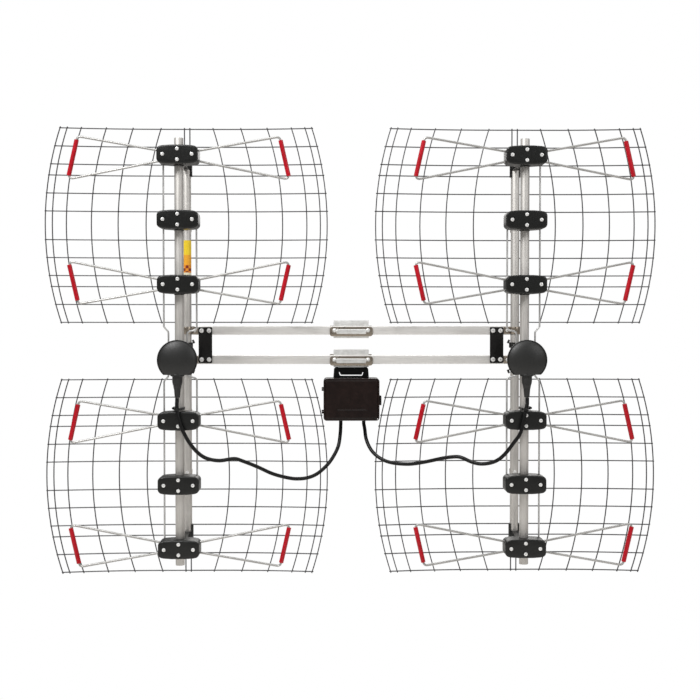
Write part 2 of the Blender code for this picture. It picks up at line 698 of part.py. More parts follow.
def phase_line(side, outer):
    """A rod down the back of the blocks, bent past the balun; side is away from the mast."""
    turn = PHASE_BALUN_Z
    if outer:
        half = [(PHASE_X, OUTER_BAY_Z + PHASE_OUTER_REACH), (PHASE_X, turn + 0.009),
                (PHASE_X - PHASE_OUTER_JOG, turn)]
    else:
        half = [(0, OUTER_BAY_Z - PHASE_INNER_SHORT), (0, MIDDLE_BLOCK_Z + 0.019),
                (-PHASE_X, MIDDLE_BLOCK_Z - 0.006), (-PHASE_X, turn + 0.004),
                (-PHASE_INNER_JOG, turn)]
    lower = [(x, -z - PHASE_LOWER_DROP if z < INNER_BAY_Z else -z) for x, z in reversed(half)]
    points = [Vector((side * x, 0, z)) for x, z in half + lower]
    return rod(rounded_path(points, PHASE_CORNER, 1), PHASE_RADIUS, 6)


def balun_dome():
    """The round cover, turned about Y, with its lower edge cut flat."""
    profile = [
        (BALUN_RADIUS - 0.003, -BALUN_BACK), (BALUN_RADIUS, -BALUN_RIM),
        (BALUN_RADIUS - 0.0015, -BALUN_RIM - 0.002),
        (BALUN_RADIUS * 0.78, -BALUN_RIM - BALUN_CROWN * 0.62),
        (BALUN_RADIUS * 0.42, -BALUN_RIM - BALUN_CROWN * 0.93),
        (BALUN_RADIUS * 0.10, -BALUN_RIM - BALUN_CROWN),
    ]
    rings = []
    for radius, y in profile:
        turns = [2 * math.pi * (i + 0.5) / BALUN_SIDES for i in range(BALUN_SIDES)]
        rings.append([
            Vector((radius * math.cos(a), y, BALUN_Z + max(radius * math.sin(a), -BALUN_CHORD)))
            for a in turns
        ])
    return lofted(rings)


def balun_housing(side):
    """The dome with its cable boot, the bracket on the front tube and its two rear clips."""
    start = Vector((0, BOOT_ROOT_Y, BALUN_Z))
    tip = Vector((side * BOOT_TIP.x, BOOT_TIP.y, BOOT_TIP.z))
    rings = []
    for share, radius in BOOT_STATIONS:
        centre = start.lerp(tip, share)
        rings.append([centre + offset for offset in circle(radius, BOOT_SIDES)])
    boot = lofted(rings)
    low, high = BALUN_CLIPS[0][0], BALUN_CLIPS[-1][1]
    bracket = box((-BALUN_BRACKET_HALF, -BALUN_BACK - BALUN_BRACKET_DEPTH, low),
                  (BALUN_BRACKET_HALF, BLOCK_BACK, high))
    shapes = [boot, bracket]
    for clip_low, clip_high in BALUN_CLIPS:
        shapes += [rear_arm(clip_low, clip_high), rear_clip(clip_low, clip_high)]
    whole = union(balun_dome(), *shapes)
    return cut(whole, cylinder(BORE_RADIUS, -0.12, 0.12, TUBE_SIDES))


def reflector(direction):
    """One curved grid as a single lattice of three-sided wires; direction is up or down.

    Its frame is at the panel's middle height, in the plane of the straight wires. Each crossing
    has an apex in front and a square behind, whose corners its wires share."""
    heights = [REFLECTOR_BOTTOM]
    for spacing in ROW_SPACINGS + ROW_SPACINGS[-2::-1]:
        heights.append(heights[-1] + spacing)
    middle = (heights[0] + heights[-1]) / 2
    half_height = heights[-1] - middle
    offsets = [CENTRE_PAIR]
    for pitch in COLUMN_PITCHES:
        offsets.append(offsets[-1] + pitch)
    columns = [-x for x in reversed(offsets)] + offsets

    def crossing(offset, height):
        bulge = 0.0
        if abs(offset) > CENTRE_PAIR:
            bulge = COLUMN_ARC_RADIUS - math.sqrt(COLUMN_ARC_RADIUS ** 2 - (height - middle) ** 2)
        x = math.copysign(abs(offset) - bulge, offset)
        reach = max(abs(offset) - SIDE_BEND_START, 0) / (offsets[-1] - SIDE_BEND_START)
        return Vector((x, -SIDE_BEND * reach ** 2, direction * height))

    bm = bmesh.new()
    grid = []
    for height in heights:
        row = []
        for offset in columns:
            at = crossing(offset, height)
            corners = {"front": bm.verts.new(at - Vector((0, WIRE_RADIUS, 0)))}
            for name, sx, sz in (("ne", 1, 1), ("nw", -1, 1), ("sw", -1, -1), ("se", 1, -1)):
                step = Vector((sx, 1, direction * sz)) * WIRE_RADIUS
                corners[name] = bm.verts.new(at + step)
            bm.faces.new([corners[name] for name in ("ne", "nw", "sw", "se")])
            row.append(corners)
        grid.append(row)

    def wire(first, second, first_sides, second_sides):
        """Three faces between two crossings, along the corners on either side of the wire."""
        for a, b in zip(first_sides, second_sides):
            bm.faces.new((first["front"], first[a], second[b], second["front"]))
        bm.faces.new([first[a] for a in first_sides] + [second[b] for b in second_sides[::-1]])

    def stub(at, a, b):
        """Close a crossing on a side where no wire leaves it."""
        bm.faces.new((at["front"], at[a], at[b]))

    for row in grid:
        for left, right in zip(row, row[1:]):
            wire(left, right, ("ne", "se"), ("nw", "sw"))
        stub(row[0], "nw", "sw")
        stub(row[-1], "ne", "se")
    for low_row, high_row in zip(grid, grid[1:]):
        for low, high in zip(low_row, high_row):
            wire(low, high, ("ne", "nw"), ("se", "sw"))
    for at in grid[0]:
        stub(at, "sw", "se")
    for at in grid[-1]:
        stub(at, "nw", "ne")
    return finished(bm, 20)


REFLECTOR_Y = TUBE_RADIUS + GAP + WIRE_RADIUS
BAYS = (("bay_1", OUTER_BAY_Z, True), ("bay_2", INNER_BAY_Z, False),
        ("bay_3", -INNER_BAY_Z, True), ("bay_4", -OUTER_BAY_Z, False))

front_tube_mesh = pipe(TUBE_RADIUS, TUBE_WALL, -FRONT_TUBE_HALF, FRONT_TUBE_HALF)
rear_tube_mesh = pipe(TUBE_RADIUS, TUBE_WALL, -REAR_TUBE_HALF, REAR_TUBE_HALF)
plain_block, armed_block = insulator(False), insulator(True)
reflector_up, reflector_down = reflector(1), reflector(-1)

for side_name, side in (("left", -1), ("right", 1)):
    panel = empty(f"{side_name}_panel_swivel", (side * PANEL_X, REAR_TUBE_Y, 0))
    front = (0, -TUBE_SPACING, 0)
    piece(f"front_tube_{side_name}", front_tube_mesh, ALUMINIUM, panel, front)
    piece(f"rear_tube_{side_name}", rear_tube_mesh, ALUMINIUM, panel)
    piece(f"reflector_{side_name}_upper", reflector_up, WIRE, panel, (0, REFLECTOR_Y, 0))
    piece(f"reflector_{side_name}_lower", reflector_down, WIRE, panel, (0, REFLECTOR_Y, 0))
    for bay, height, short_up in BAYS:
        block = armed_block if abs(height) == OUTER_BAY_Z else plain_block
        place = (0, -TUBE_SPACING, height)
        piece(f"insulator_{side_name}_{bay}", block, BLACK_PLASTIC, panel, place)
        piece(f"element_{side_name}_{bay}_outer", element(side, short_up), ROD, panel, place)
        piece(f"element_{side_name}_{bay}_inner", element(-side, short_up), ROD, panel, place)
    for level, height in (("upper", MIDDLE_BLOCK_Z), ("lower", -MIDDLE_BLOCK_Z)):
        place = (0, -TUBE_SPACING, height)
        piece(f"insulator_{side_name}_middle_{level}", plain_block, BLACK_PLASTIC, panel, place)
    for line, outer in (("outer", True), ("inner", False)):
        place = (0, PHASE_Y - TUBE_SPACING, 0)
        piece(f"phase_line_{side_name}_{line}", phase_line(side, outer), PHASE_ROD, panel, place)
    piece(f"balun_housing_{side_name}", balun_housing(side), BLACK_PLASTIC, panel, front)

# ---- coaxial cables, each from a balun's boot to the combiner ----

BOOT_EXIT = Vector((PANEL_X + BOOT_TIP.x, FRONT_TUBE_Y + BOOT_TIP.y, BOOT_TIP.z - COAX_GAP))
COLLAR_EXIT_Z = CASE_BOTTOM - COLLAR_LENGTH - COAX_GAP
LEFT_ROUTE = (
    (-0.3049, -0.1885, -0.0892), (-0.3042, -0.190, -0.1013), (-0.3021, -0.1915, -0.1116),
    (-0.2976, -0.192, -0.1271), (-0.2915, -0.192, -0.1409), (-0.2815, -0.190, -0.1584),
    (-0.2685, -0.185, -0.1745), (-0.2538, -0.179, -0.1848), (-0.2328, -0.170, -0.1896),
    (-0.2090, -0.158, -0.1877), (-0.1947, -0.151, -0.1925), (-0.1688, -0.138, -0.2048),
    (-0.1426, -0.124, -0.2190), (-0.1160, -0.109, -0.2284), (-0.0975, -0.100, -0.2316),
    (-0.0786, -0.091, -0.2304), (-0.0615, -0.083, -0.2236), (-0.0441, -0.074, -0.2090),
    (-0.0318, -0.064, -0.1925), (-0.0237, -0.053, -0.1754), (-0.0204, -0.043, -0.1538),
)
RIGHT_ROUTE = (
    (0.3040, -0.1890, -0.0920), (0.2998, -0.1910, -0.1078), (0.2960, -0.192, -0.1248),
    (0.2912, -0.192, -0.1418), (0.2794, -0.190, -0.1589), (0.2681, -0.185, -0.1752),
    (0.2568, -0.180, -0.1867), (0.2451, -0.175, -0.1931), (0.2314, -0.1685, -0.1963),
    (0.2198, -0.163, -0.1961), (0.2082, -0.1575, -0.1930), (0.1965, -0.152, -0.1880),
    (0.1871, -0.147, -0.1862), (0.1727, -0.140, -0.1880), (0.1583, -0.133, -0.1913),
    (0.1390, -0.124, -0.1968), (0.1195, -0.114, -0.2017), (0.1022, -0.105, -0.2045),
    (0.0796, -0.093, -0.2045), (0.0621, -0.082, -0.2013), (0.0469, -0.072, -0.1934),
    (0.0354, -0.061, -0.1816), (0.0278, -0.049, -0.1644), (0.0253, -0.041, -0.1467),
)


def smooth_route(points, step):
    """Points about step apart on a smooth curve through the route's own points."""
    fine = []
    ends = [points[0] * 2 - points[1], *points, points[-1] * 2 - points[-2]]
    for before, start, end, after in zip(ends, ends[1:], ends[2:], ends[3:]):
        for i in range(8):
            t = i / 8
            fine.append(0.5 * (2 * start + (end - before) * t
                               + (2 * before - 5 * start + 4 * end - after) * t ** 2
                               + (3 * start - before - 3 * end + after) * t ** 3))
    fine.append(points[-1])
    lengths = [0.0]
    for a, b in zip(fine, fine[1:]):
        lengths.append(lengths[-1] + (b - a).length)
    count = round(lengths[-1] / step)
    picked, near = [], 0
    for i in range(count + 1):
        wanted = lengths[-1] * i / count
        while near < len(fine) - 2 and lengths[near + 1] < wanted:
            near += 1
        share = (wanted - lengths[near]) / (lengths[near + 1] - lengths[near])
        picked.append(fine[near].lerp(fine[near + 1], min(share, 1.0)))
    return picked


def coax(name, first, route, last):
    """A cable that leaves the boot and enters the collar straight, and is smooth in between."""
    straight = Vector((0, 0, -COAX_STRAIGHT))
    between = smooth_route([first + straight, *route, last + straight], COAX_STEP)
    points = [first, *between, last]
    curve = bpy.data.curves.new(name, "CURVE")
    curve.dimensions = "3D"
    curve.bevel_depth = COAX_RADIUS
    curve.bevel_resolution = 2
    curve.use_fill_caps = True
    curve.materials.append(RUBBER)
    spline = curve.splines.new("POLY")
    spline.points.add(len(points) - 1)
    for target, point in zip(spline.points, points):
        target.co = (*point, 1.0)
    made = bpy.data.objects.new(name, curve)
    made.parent = boom
    bpy.context.scene.collection.objects.link(made)


for side_name, side, route in (("left", -1, LEFT_ROUTE), ("right", 1, RIGHT_ROUTE)):
    first = Vector((side * BOOT_EXIT.x, BOOT_EXIT.y, BOOT_EXIT.z))
    last = Vector((EXIT_X[0] if side < 0 else EXIT_X[1], EXIT_Y, COLLAR_EXIT_Z))
    coax(f"coax_{side_name}", first, [Vector(point) for point in route], last)
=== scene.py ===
# %% [markdown]
# # A bow-tie television antenna, finished for a picture
#
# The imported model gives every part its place. Here each part gets the surface that the real one has:
# drawn rods and tubes, stamped steel, moulded plastic, and two coaxial cables that bend.
# Everything is in metres, the mast's axis is Z, and the antenna looks towards -Y.

# %% Load the frame
import math

import bpy
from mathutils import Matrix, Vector


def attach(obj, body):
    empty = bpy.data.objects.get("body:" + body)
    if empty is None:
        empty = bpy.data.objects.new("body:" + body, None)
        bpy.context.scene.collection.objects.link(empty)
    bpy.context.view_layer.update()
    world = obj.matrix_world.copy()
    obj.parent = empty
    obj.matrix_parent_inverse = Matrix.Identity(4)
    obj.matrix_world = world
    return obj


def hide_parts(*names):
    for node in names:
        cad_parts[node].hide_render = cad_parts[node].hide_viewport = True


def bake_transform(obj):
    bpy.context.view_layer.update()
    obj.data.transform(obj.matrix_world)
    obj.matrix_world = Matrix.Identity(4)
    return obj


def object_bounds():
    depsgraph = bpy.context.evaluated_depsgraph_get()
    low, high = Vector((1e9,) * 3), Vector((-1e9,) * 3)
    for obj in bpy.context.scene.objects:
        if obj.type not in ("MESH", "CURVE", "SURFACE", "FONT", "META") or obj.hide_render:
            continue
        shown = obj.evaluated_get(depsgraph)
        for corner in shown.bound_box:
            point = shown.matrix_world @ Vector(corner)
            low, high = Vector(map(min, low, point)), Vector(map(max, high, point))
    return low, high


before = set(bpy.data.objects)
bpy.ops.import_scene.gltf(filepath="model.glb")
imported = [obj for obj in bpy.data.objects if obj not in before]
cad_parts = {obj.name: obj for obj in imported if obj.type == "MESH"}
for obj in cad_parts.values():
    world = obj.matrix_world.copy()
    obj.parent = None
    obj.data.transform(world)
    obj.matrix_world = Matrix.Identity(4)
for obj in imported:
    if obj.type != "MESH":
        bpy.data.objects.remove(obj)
CAD_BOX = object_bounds()
print("CAD box", [round(v, 4) for corner in CAD_BOX for v in corner])

# %% [markdown]
# ## The camera
#
# A long lens stands two metres away, a touch to the left, and looks very slightly down. A nearer
# camera with a short lens would spread the antenna more at its edges. The camera's place decides
# how the front tubes and the rear tubes overlap, so it comes first.

# %% Camera
LOOKS_DOWN, LOOKS_RIGHT = math.radians(1.34), math.radians(0.86)
camera_data = bpy.data.cameras.new("camera")
camera_data.sensor_width = 36
camera_data.lens = 57.3
camera = bpy.data.objects.new("camera", camera_data)
camera.location = (-0.0335, -2.1225, 0.0501)
camera.rotation_euler = (math.radians(90) - LOOKS_DOWN, 0, -LOOKS_RIGHT)
bpy.context.scene.collection.objects.link(camera)
bpy.context.scene.camera = camera
print("camera", tuple(round(v, 3) for v in camera.location))

# %% [markdown]
# ## Working by hand, in code
#
# Blender's operators act on what is selected and active, so one helper makes a piece the only
# selected one, and another selects faces, edges or points by their place and direction.
# A mesh could also be written as lists of points and faces, but operators keep each step one that a
# modeller would take by hand. Every piece ends with its place in its mesh, because the patterns on
# it read that place.

# %% Select one object, and settle its place
def only(obj):
    """Make this object the only selected one, and the active one."""
    bpy.ops.object.select_all(action="DESELECT")
    obj.select_set(True)
    bpy.context.view_layer.objects.active = obj
    return obj


def settled(obj):
    """Put the object's place, turn and scale into its mesh."""
    only(obj)
    bpy.ops.object.transform_apply(location=True, rotation=True, scale=True)
    return obj


bpy.ops.object.select_all(action="DESELECT")

# %% Select some faces, edges or points
ALONG = 0.9
MERGE_DISTANCE = 1e-6


def pick(obj, kind, test):
    """Open a mesh with only those elements selected whose centre and direction pass the test."""
    only(obj)
    bpy.ops.object.mode_set(mode="EDIT")
    bpy.ops.mesh.select_mode(type=kind)
    bpy.ops.mesh.select_all(action="DESELECT")
    bpy.ops.object.mode_set(mode="OBJECT")
    mesh = obj.data
    if kind == "FACE":
        for face in mesh.polygons:
            face.select = test(face.center, face.normal)
    elif kind == "EDGE":
        for edge in mesh.edges:
            a, b = (mesh.vertices[i].co for i in edge.vertices)
            edge.select = test((a + b) / 2, (b - a).normalized())
    else:
        for vertex in mesh.vertices:
            vertex.select = test(vertex.co, vertex.normal)
    bpy.ops.object.mode_set(mode="EDIT")
    return obj


def closed():
    """Leave edit mode."""
    bpy.ops.object.mode_set(mode="OBJECT")


def smoothed(obj, degrees=40):
    """Shade smoothly across edges flatter than this many degrees."""
    only(obj)
    bpy.ops.object.shade_smooth_by_angle(angle=math.radians(degrees))
    return obj


print("a direction counts as along an axis within", round(math.degrees(math.acos(ALONG))), "degrees of it")

# %% [markdown]
# ## Finishes
#
# No real surface is one flat colour. Each finish starts from a principled shader and gets a noise for
# its colour, one for its roughness and one for its bump, each at the size of the real marks.
# A picture of the surface could be wrapped round a piece instead, but noise has no seam and fits
# any shape. The patterns read object coordinates, which here are metres from the mast's axis.

# %% A node with its values
def set_values(node, values):
    """Set inputs by name; an underscore in a name stands for a space."""
    for key, value in values.items():
        node.inputs[key.replace("_", " ")].default_value = value


def added(tree, kind, **values):
    """A new node of this kind with these input values."""
    node = tree.nodes.new("ShaderNode" + kind)
    set_values(node, values)
    return node


def combined(tree, operation, first, second):
    """A Math node; second is an output to link or a plain number."""
    node = added(tree, "Math")
    node.operation = operation
    tree.links.new(first, node.inputs[0])
    if isinstance(second, float):
        node.inputs[1].default_value = second
    else:
        tree.links.new(second, node.inputs[1])
    return node.outputs[0]


print("materials before the first finish:", len(bpy.data.materials))

# %% A finish built from noise
BROAD_SCALE = 18.0


def finish(name, colours, roughness, metallic=0.0, *, grain, bump, speckle=None, **shader_values):
    """colours are the darkest and lightest; roughness likewise; grain is the noise's scale per axis."""
    made = bpy.data.materials.new(name)
    made.use_nodes = True
    tree = made.node_tree
    link = tree.links.new
    shader = tree.nodes["Principled BSDF"]
    shader.inputs["Metallic"].default_value = metallic
    set_values(shader, shader_values)

    place = added(tree, "TexCoord").outputs["Object"]
    stretch = added(tree, "Mapping", Scale=grain)
    link(place, stretch.inputs["Vector"])
    fine = added(tree, "TexNoise", Scale=1.0, Detail=4.0)
    link(stretch.outputs["Vector"], fine.inputs["Vector"])
    broad = added(tree, "TexNoise", Scale=BROAD_SCALE, Detail=3.0)
    link(place, broad.inputs["Vector"])

    both = combined(tree, "ADD", fine.outputs["Fac"], broad.outputs["Fac"])
    ramp = added(tree, "ValToRGB")
    for element, position, colour in zip(ramp.color_ramp.elements, (0.35, 0.65), colours):
        element.position = position
        element.color = (*colour, 1)
    link(combined(tree, "MULTIPLY", both, 0.5), ramp.inputs["Fac"])
    link(ramp.outputs["Color"], shader.inputs["Base Color"])

    rough = added(tree, "MapRange", From_Min=0.3, From_Max=0.7, To_Min=roughness[0], To_Max=roughness[1])
    link(fine.outputs["Fac"], rough.inputs["Value"])
    link(rough.outputs["Result"], shader.inputs["Roughness"])

    height = fine.outputs["Fac"]
    if speckle:
        cells = added(tree, "TexVoronoi", Scale=speckle)
        link(place, cells.inputs["Vector"])
        height = cells.outputs["Distance"]
    raised_marks = added(tree, "Bump", Strength=bump[0], Distance=bump[1])
    link(height, raised_marks.inputs["Height"])
    link(raised_marks.outputs["Normal"], shader.inputs["Normal"])
    return made


print("broad marks are about", round(1000 / BROAD_SCALE), "mm across")

# %% The metals
TUBE = finish("satin_tube", ((0.50, 0.485, 0.46), (0.68, 0.66, 0.635)), (0.52, 0.64), 0.8,
              grain=(900, 900, 25), bump=(0.12, 0.0001))
RAIL = finish("satin_rail", ((0.80, 0.785, 0.76), (0.94, 0.925, 0.90)), (0.34, 0.48), 0.6,
              grain=(25, 900, 900), bump=(0.12, 0.0001))
ROD = finish("bright_rod", ((0.36, 0.355, 0.345), (0.50, 0.495, 0.48)), (0.32, 0.46), 0.6,
             grain=(700, 700, 700), bump=(0.08, 0.0001))
PHASE = finish("drawn_rod", ((0.55, 0.55, 0.55), (0.76, 0.76, 0.75)), (0.32, 0.46), 0.8,
               grain=(900, 900, 60), bump=(0.1, 0.0001))
ZINC = finish("zinc_plate", ((0.31, 0.265, 0.215), (0.41, 0.36, 0.30)), (0.24, 0.34), 0.95,
              grain=(120, 120, 120), bump=(0.08, 0.0002))
# Pale zinc is the saddles', bolts' and wing nuts' own colour; on the front plates' beads it is painted
# highlight.
PALE_ZINC_AND_BEAD_HIGHLIGHT = finish("bright_zinc_and_painted_highlight", ((0.74, 0.74, 0.72), (0.90, 0.905, 0.89)), (0.30, 0.46), 0.5,
                   grain=(180, 180, 180), bump=(0.1, 0.0002))
SCREW = finish("bright_screw", ((0.86, 0.86, 0.85), (0.96, 0.96, 0.95)), (0.20, 0.34), 0.35,
               grain=(1200, 1200, 1200), bump=(0.1, 0.0001))
BLACK_STEEL = finish("black_coated_steel", ((0.003, 0.003, 0.003), (0.009, 0.0085, 0.008)),
                     (0.30, 0.46), grain=(500, 500, 500), bump=(0.2, 0.0002), speckle=1500,
                     Specular_IOR_Level=0.25)
WIRE = finish("coated_wire", ((0.045, 0.045, 0.048), (0.105, 0.105, 0.11)), (0.38, 0.55), 0.35,
              grain=(500, 500, 500), bump=(0.3, 0.0002))
PLATED = finish("plated_brass", ((0.62, 0.52, 0.30), (0.82, 0.70, 0.42)), (0.2, 0.34), 1.0,
                grain=(900, 900, 900), bump=(0.12, 0.0001))
METALS = len(bpy.data.materials)
print("metal finishes", METALS)

# %% Plastic, rubber and paper
BLACK = finish("moulded_black", ((0.0022, 0.0024, 0.0022), (0.0055, 0.006, 0.0054)), (0.29, 0.39),
               grain=(600, 600, 600), bump=(0.35, 0.0003), speckle=1100, Specular_IOR_Level=0.44)
COVER = finish("grained_cover", ((0.0022, 0.0024, 0.0022), (0.0055, 0.006, 0.0054)), (0.40, 0.50),
               grain=(600, 600, 600), bump=(0.35, 0.0003), speckle=1000, Specular_IOR_Level=0.62)
CASE = finish("case_gloss", ((0.0060, 0.0022, 0.0016), (0.0120, 0.0046, 0.0034)), (0.12, 0.20),
              grain=(120, 120, 120), bump=(0.03, 0.0003), Specular_IOR_Level=0.42)
JACKET = finish("cable_jacket", ((0.002, 0.002, 0.002), (0.006, 0.006, 0.006)), (0.30, 0.42),
                grain=(500, 500, 500), bump=(0.15, 0.0002), Specular_IOR_Level=0.25)
RED = finish("red_sleeve", ((0.38, 0.001, 0.008), (0.52, 0.003, 0.016)), (0.30, 0.42),
             grain=(300, 300, 90), bump=(0.15, 0.0002), Specular_IOR_Level=0.3)
BOARD = finish("green_laminate", ((0.010, 0.09, 0.035), (0.02, 0.16, 0.06)), (0.3, 0.45),
               grain=(900, 900, 900), bump=(0.1, 0.0001))
LABEL = finish("label_print", ((0.8, 0.8, 0.8), (1, 1, 1)), (0.3, 0.42),
               grain=(900, 900, 900), bump=(0.05, 0.0001))
print("other finishes", len(bpy.data.materials) - METALS)

# %% [markdown]
# ## Light, floor and background
#
# The antenna is shown on white, evenly lit. Big soft lamps stand in front of it on both sides, one
# hangs overhead, and a weak one stands behind. One bright background could light it all, but metal
# would then mirror nothing but white and black would turn grey. So the background and the floor are
# white to the eye and much dimmer as lamps. The plain display transform keeps that white full.

# %% Lamps
def lamp(name, place, size, watts, colour=(1, 1, 1)):
    """A soft rectangular lamp that faces the origin."""
    data = bpy.data.lights.new(name, "AREA")
    data.shape = "RECTANGLE"
    data.size, data.size_y = size
    data.energy = watts
    data.color = colour
    obj = bpy.data.objects.new(name, data)
    obj.location = place
    obj.rotation_euler = (-Vector(place)).to_track_quat("-Z", "Y").to_euler()
    bpy.context.scene.collection.objects.link(obj)


lamp("key", (-1.3, -1.7, 2.1), (1.1, 1.1), 64)
lamp("fill", (1.8, -1.6, 1.2), (1.2, 1.2), 13)
lamp("top", (0, -0.3, 2.4), (2.4, 1.2), 22)
lamp("back", (0.4, 2.4, 1.2), (2.2, 1.6), 26, (1, 0.985, 0.96))
bpy.context.scene.view_settings.view_transform = "Standard"
print("lamps", len(bpy.data.lights))

# %% Background
def bright_to_the_eye(tree, lit, kind, output):
    """Plain white where the camera looks straight at it, and the lit shader for everything else."""
    choose = added(tree, "MixShader")
    ray = added(tree, "LightPath")
    seen = added(tree, kind, Strength=1.0, Color=(1, 1, 1, 1))
    tree.links.new(ray.outputs["Is Camera Ray"], choose.inputs["Fac"])
    tree.links.new(lit.outputs[0], choose.inputs[1])
    tree.links.new(seen.outputs[0], choose.inputs[2])
    tree.links.new(choose.outputs["Shader"], tree.nodes[output].inputs["Surface"])


world = bpy.data.worlds.new("studio")
bpy.context.scene.world = world
world.use_nodes = True
felt = world.node_tree.nodes["Background"]
set_values(felt, {"Color": (1.0, 0.995, 0.985, 1), "Strength": 0.30})
bright_to_the_eye(world.node_tree, felt, "Background", "World Output")
print("background lights at", round(felt.inputs["Strength"].default_value, 2))

# %% Floor
FLOOR_DROP, FLOOR_SIZE = 0.25, 60
bpy.ops.object.select_all(action="DESELECT")
bpy.ops.mesh.primitive_plane_add(size=FLOOR_SIZE, location=(0, 0, CAD_BOX[0].z - FLOOR_DROP))
floor = bpy.context.object
floor.name = "floor"
settled(floor)
pale = bpy.data.materials.new("pale_floor")
pale.use_nodes = True
pale_shader = pale.node_tree.nodes["Principled BSDF"]
set_values(pale_shader, {"Base Color": (0.82, 0.80, 0.77, 1), "Roughness": 0.9})
bright_to_the_eye(pale.node_tree, pale_shader, "Emission", "Material Output")
floor.data.materials.append(pale)
print("floor at", round(CAD_BOX[0].z - FLOOR_DROP, 3))

# %% [markdown]
# ## The two coaxial cables
#
# Each cable leaves the rubber boot under its balun, hangs down in front of the reflector, and rises
# into the combiner's lower wall. A coaxial cable is stiff, so it takes wide even bends.
# Its route is a list of places, joined by one smooth curve. A curve object with a
# thickness could stay live, but here the curve with its thickness is made a mesh. The real cable
# bends when a panel swivels while its other end stays with the boom.

# %% Cable routes
COAX_RADIUS = 0.00335
BOOT_END = Vector((0.3047, -0.18715, -0.0786))
CASE_EXIT = {"left": Vector((-0.0195, -0.0375, -0.1316)), "right": Vector((0.0235, -0.0375, -0.1316))}
STRAIGHT = Vector((0, 0, -0.005))
ROUTES = {
    "left": (
        (-0.3049, -0.1885, -0.0892), (-0.3042, -0.190, -0.1013), (-0.3021, -0.1915, -0.1116),
        (-0.2976, -0.192, -0.1271), (-0.2915, -0.192, -0.1409), (-0.2815, -0.190, -0.1584),
        (-0.2685, -0.185, -0.1745), (-0.2538, -0.179, -0.1848), (-0.2328, -0.170, -0.1896),
        (-0.2090, -0.158, -0.1877), (-0.1947, -0.151, -0.1925), (-0.1688, -0.138, -0.2048),
        (-0.1426, -0.124, -0.2190), (-0.1160, -0.109, -0.2284), (-0.0975, -0.100, -0.2316),
        (-0.0786, -0.091, -0.2304), (-0.0615, -0.083, -0.2236), (-0.0441, -0.074, -0.2090),
        (-0.0318, -0.064, -0.1925), (-0.0237, -0.053, -0.1754), (-0.0204, -0.043, -0.1538),
    ),
    "right": (
        (0.3040, -0.1890, -0.0920), (0.2998, -0.1910, -0.1078), (0.2960, -0.192, -0.1248),
        (0.2912, -0.192, -0.1418), (0.2794, -0.190, -0.1589), (0.2681, -0.185, -0.1752),
        (0.2568, -0.180, -0.1867), (0.2451, -0.175, -0.1931), (0.2314, -0.1685, -0.1963),
        (0.2198, -0.163, -0.1961), (0.2082, -0.1575, -0.1930), (0.1965, -0.152, -0.1880),
        (0.1871, -0.147, -0.1862), (0.1727, -0.140, -0.1880), (0.1583, -0.133, -0.1913),
        (0.1390, -0.124, -0.1968), (0.1195, -0.114, -0.2017), (0.1022, -0.105, -0.2045),
        (0.0796, -0.093, -0.2045), (0.0621, -0.082, -0.2013), (0.0469, -0.072, -0.1934),
        (0.0354, -0.061, -0.1816), (0.0278, -0.049, -0.1644), (0.0253, -0.041, -0.1467),
    ),
}
print("places on the routes:", {name: len(places) for name, places in ROUTES.items()})

# %% A smooth curve through the places
CURVE_PARTS = 5


def smooth_route(points):
    """Points on a smooth curve through the route's own points."""
    fine = []
    ends = [points[0] * 2 - points[1], *points, points[-1] * 2 - points[-2]]
    for before, start, end, after in zip(ends, ends[1:], ends[2:], ends[3:]):
        for i in range(CURVE_PARTS):
            t = i / CURVE_PARTS
            fine.append(0.5 * (2 * start + (end - before) * t
                               + (2 * before - 5 * start + 4 * end - after) * t ** 2
                               + (3 * start - before - 3 * end + after) * t ** 3))
    return fine + [points[-1]]


print("points on the left curve:", len(smooth_route([Vector(place) for place in ROUTES["left"]])))

# %% A line drawn point by point
def drawn(name, points, radius=None, roundness=3):
    """A line drawn point by point; with a radius it becomes a round rod with closed ends."""
    bpy.ops.object.select_all(action="DESELECT")
    bpy.ops.mesh.primitive_plane_add(size=0.001, location=points[0])
    obj = bpy.context.object
    obj.name = obj.data.name = name
    settled(obj)
    bpy.ops.object.mode_set(mode="EDIT")
    bpy.ops.mesh.select_mode(type="VERT")
    bpy.ops.mesh.select_all(action="SELECT")
    bpy.ops.mesh.merge(type="CENTER")
    for before, point in zip(points, points[1:]):
        step = tuple(Vector(point) - Vector(before))
        bpy.ops.mesh.extrude_vertices_move(TRANSFORM_OT_translate={"value": step})
    closed()
    if radius is None:
        return obj
    only(obj)
    bpy.ops.object.convert(target="CURVE")
    obj = bpy.context.object
    obj.data.bevel_depth = radius
    obj.data.bevel_resolution = roundness
    obj.data.use_fill_caps = True
    bpy.ops.object.convert(target="MESH")
    obj = bpy.context.object
    obj.name = obj.data.name = name
    pick(obj, "FACE", lambda centre, normal: True)
    bpy.ops.mesh.remove_doubles(threshold=MERGE_DISTANCE)
    bpy.ops.mesh.normals_make_consistent(inside=False)
    closed()
    return smoothed(obj, 50)


gaps = [(Vector(b) - Vector(a)).length for a, b in zip(ROUTES["left"], ROUTES["left"][1:])]
print("the left route's places are", round(1000 * max(gaps)), "mm apart or less")

# %% Cables
SIDES = (("left", -1), ("right", 1))
for side_name, side in SIDES:
    first = Vector((side * BOOT_END.x, BOOT_END.y, BOOT_END.z))
    last = CASE_EXIT[side_name]
    route = [Vector(point) for point in ROUTES[side_name]]
    path = [first, *smooth_route([first + STRAIGHT, *route, last + STRAIGHT]), last]
    length = sum((b - a).length for a, b in zip(path, path[1:]))
    cable = drawn(f"cable_{side_name}", path, COAX_RADIUS, 5)
    cable.data.materials.append(JACKET)
    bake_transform(cable)
    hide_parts(f"coax_{side_name}")
    print(f"cable_{side_name} is {length * 1000:.0f} mm long")

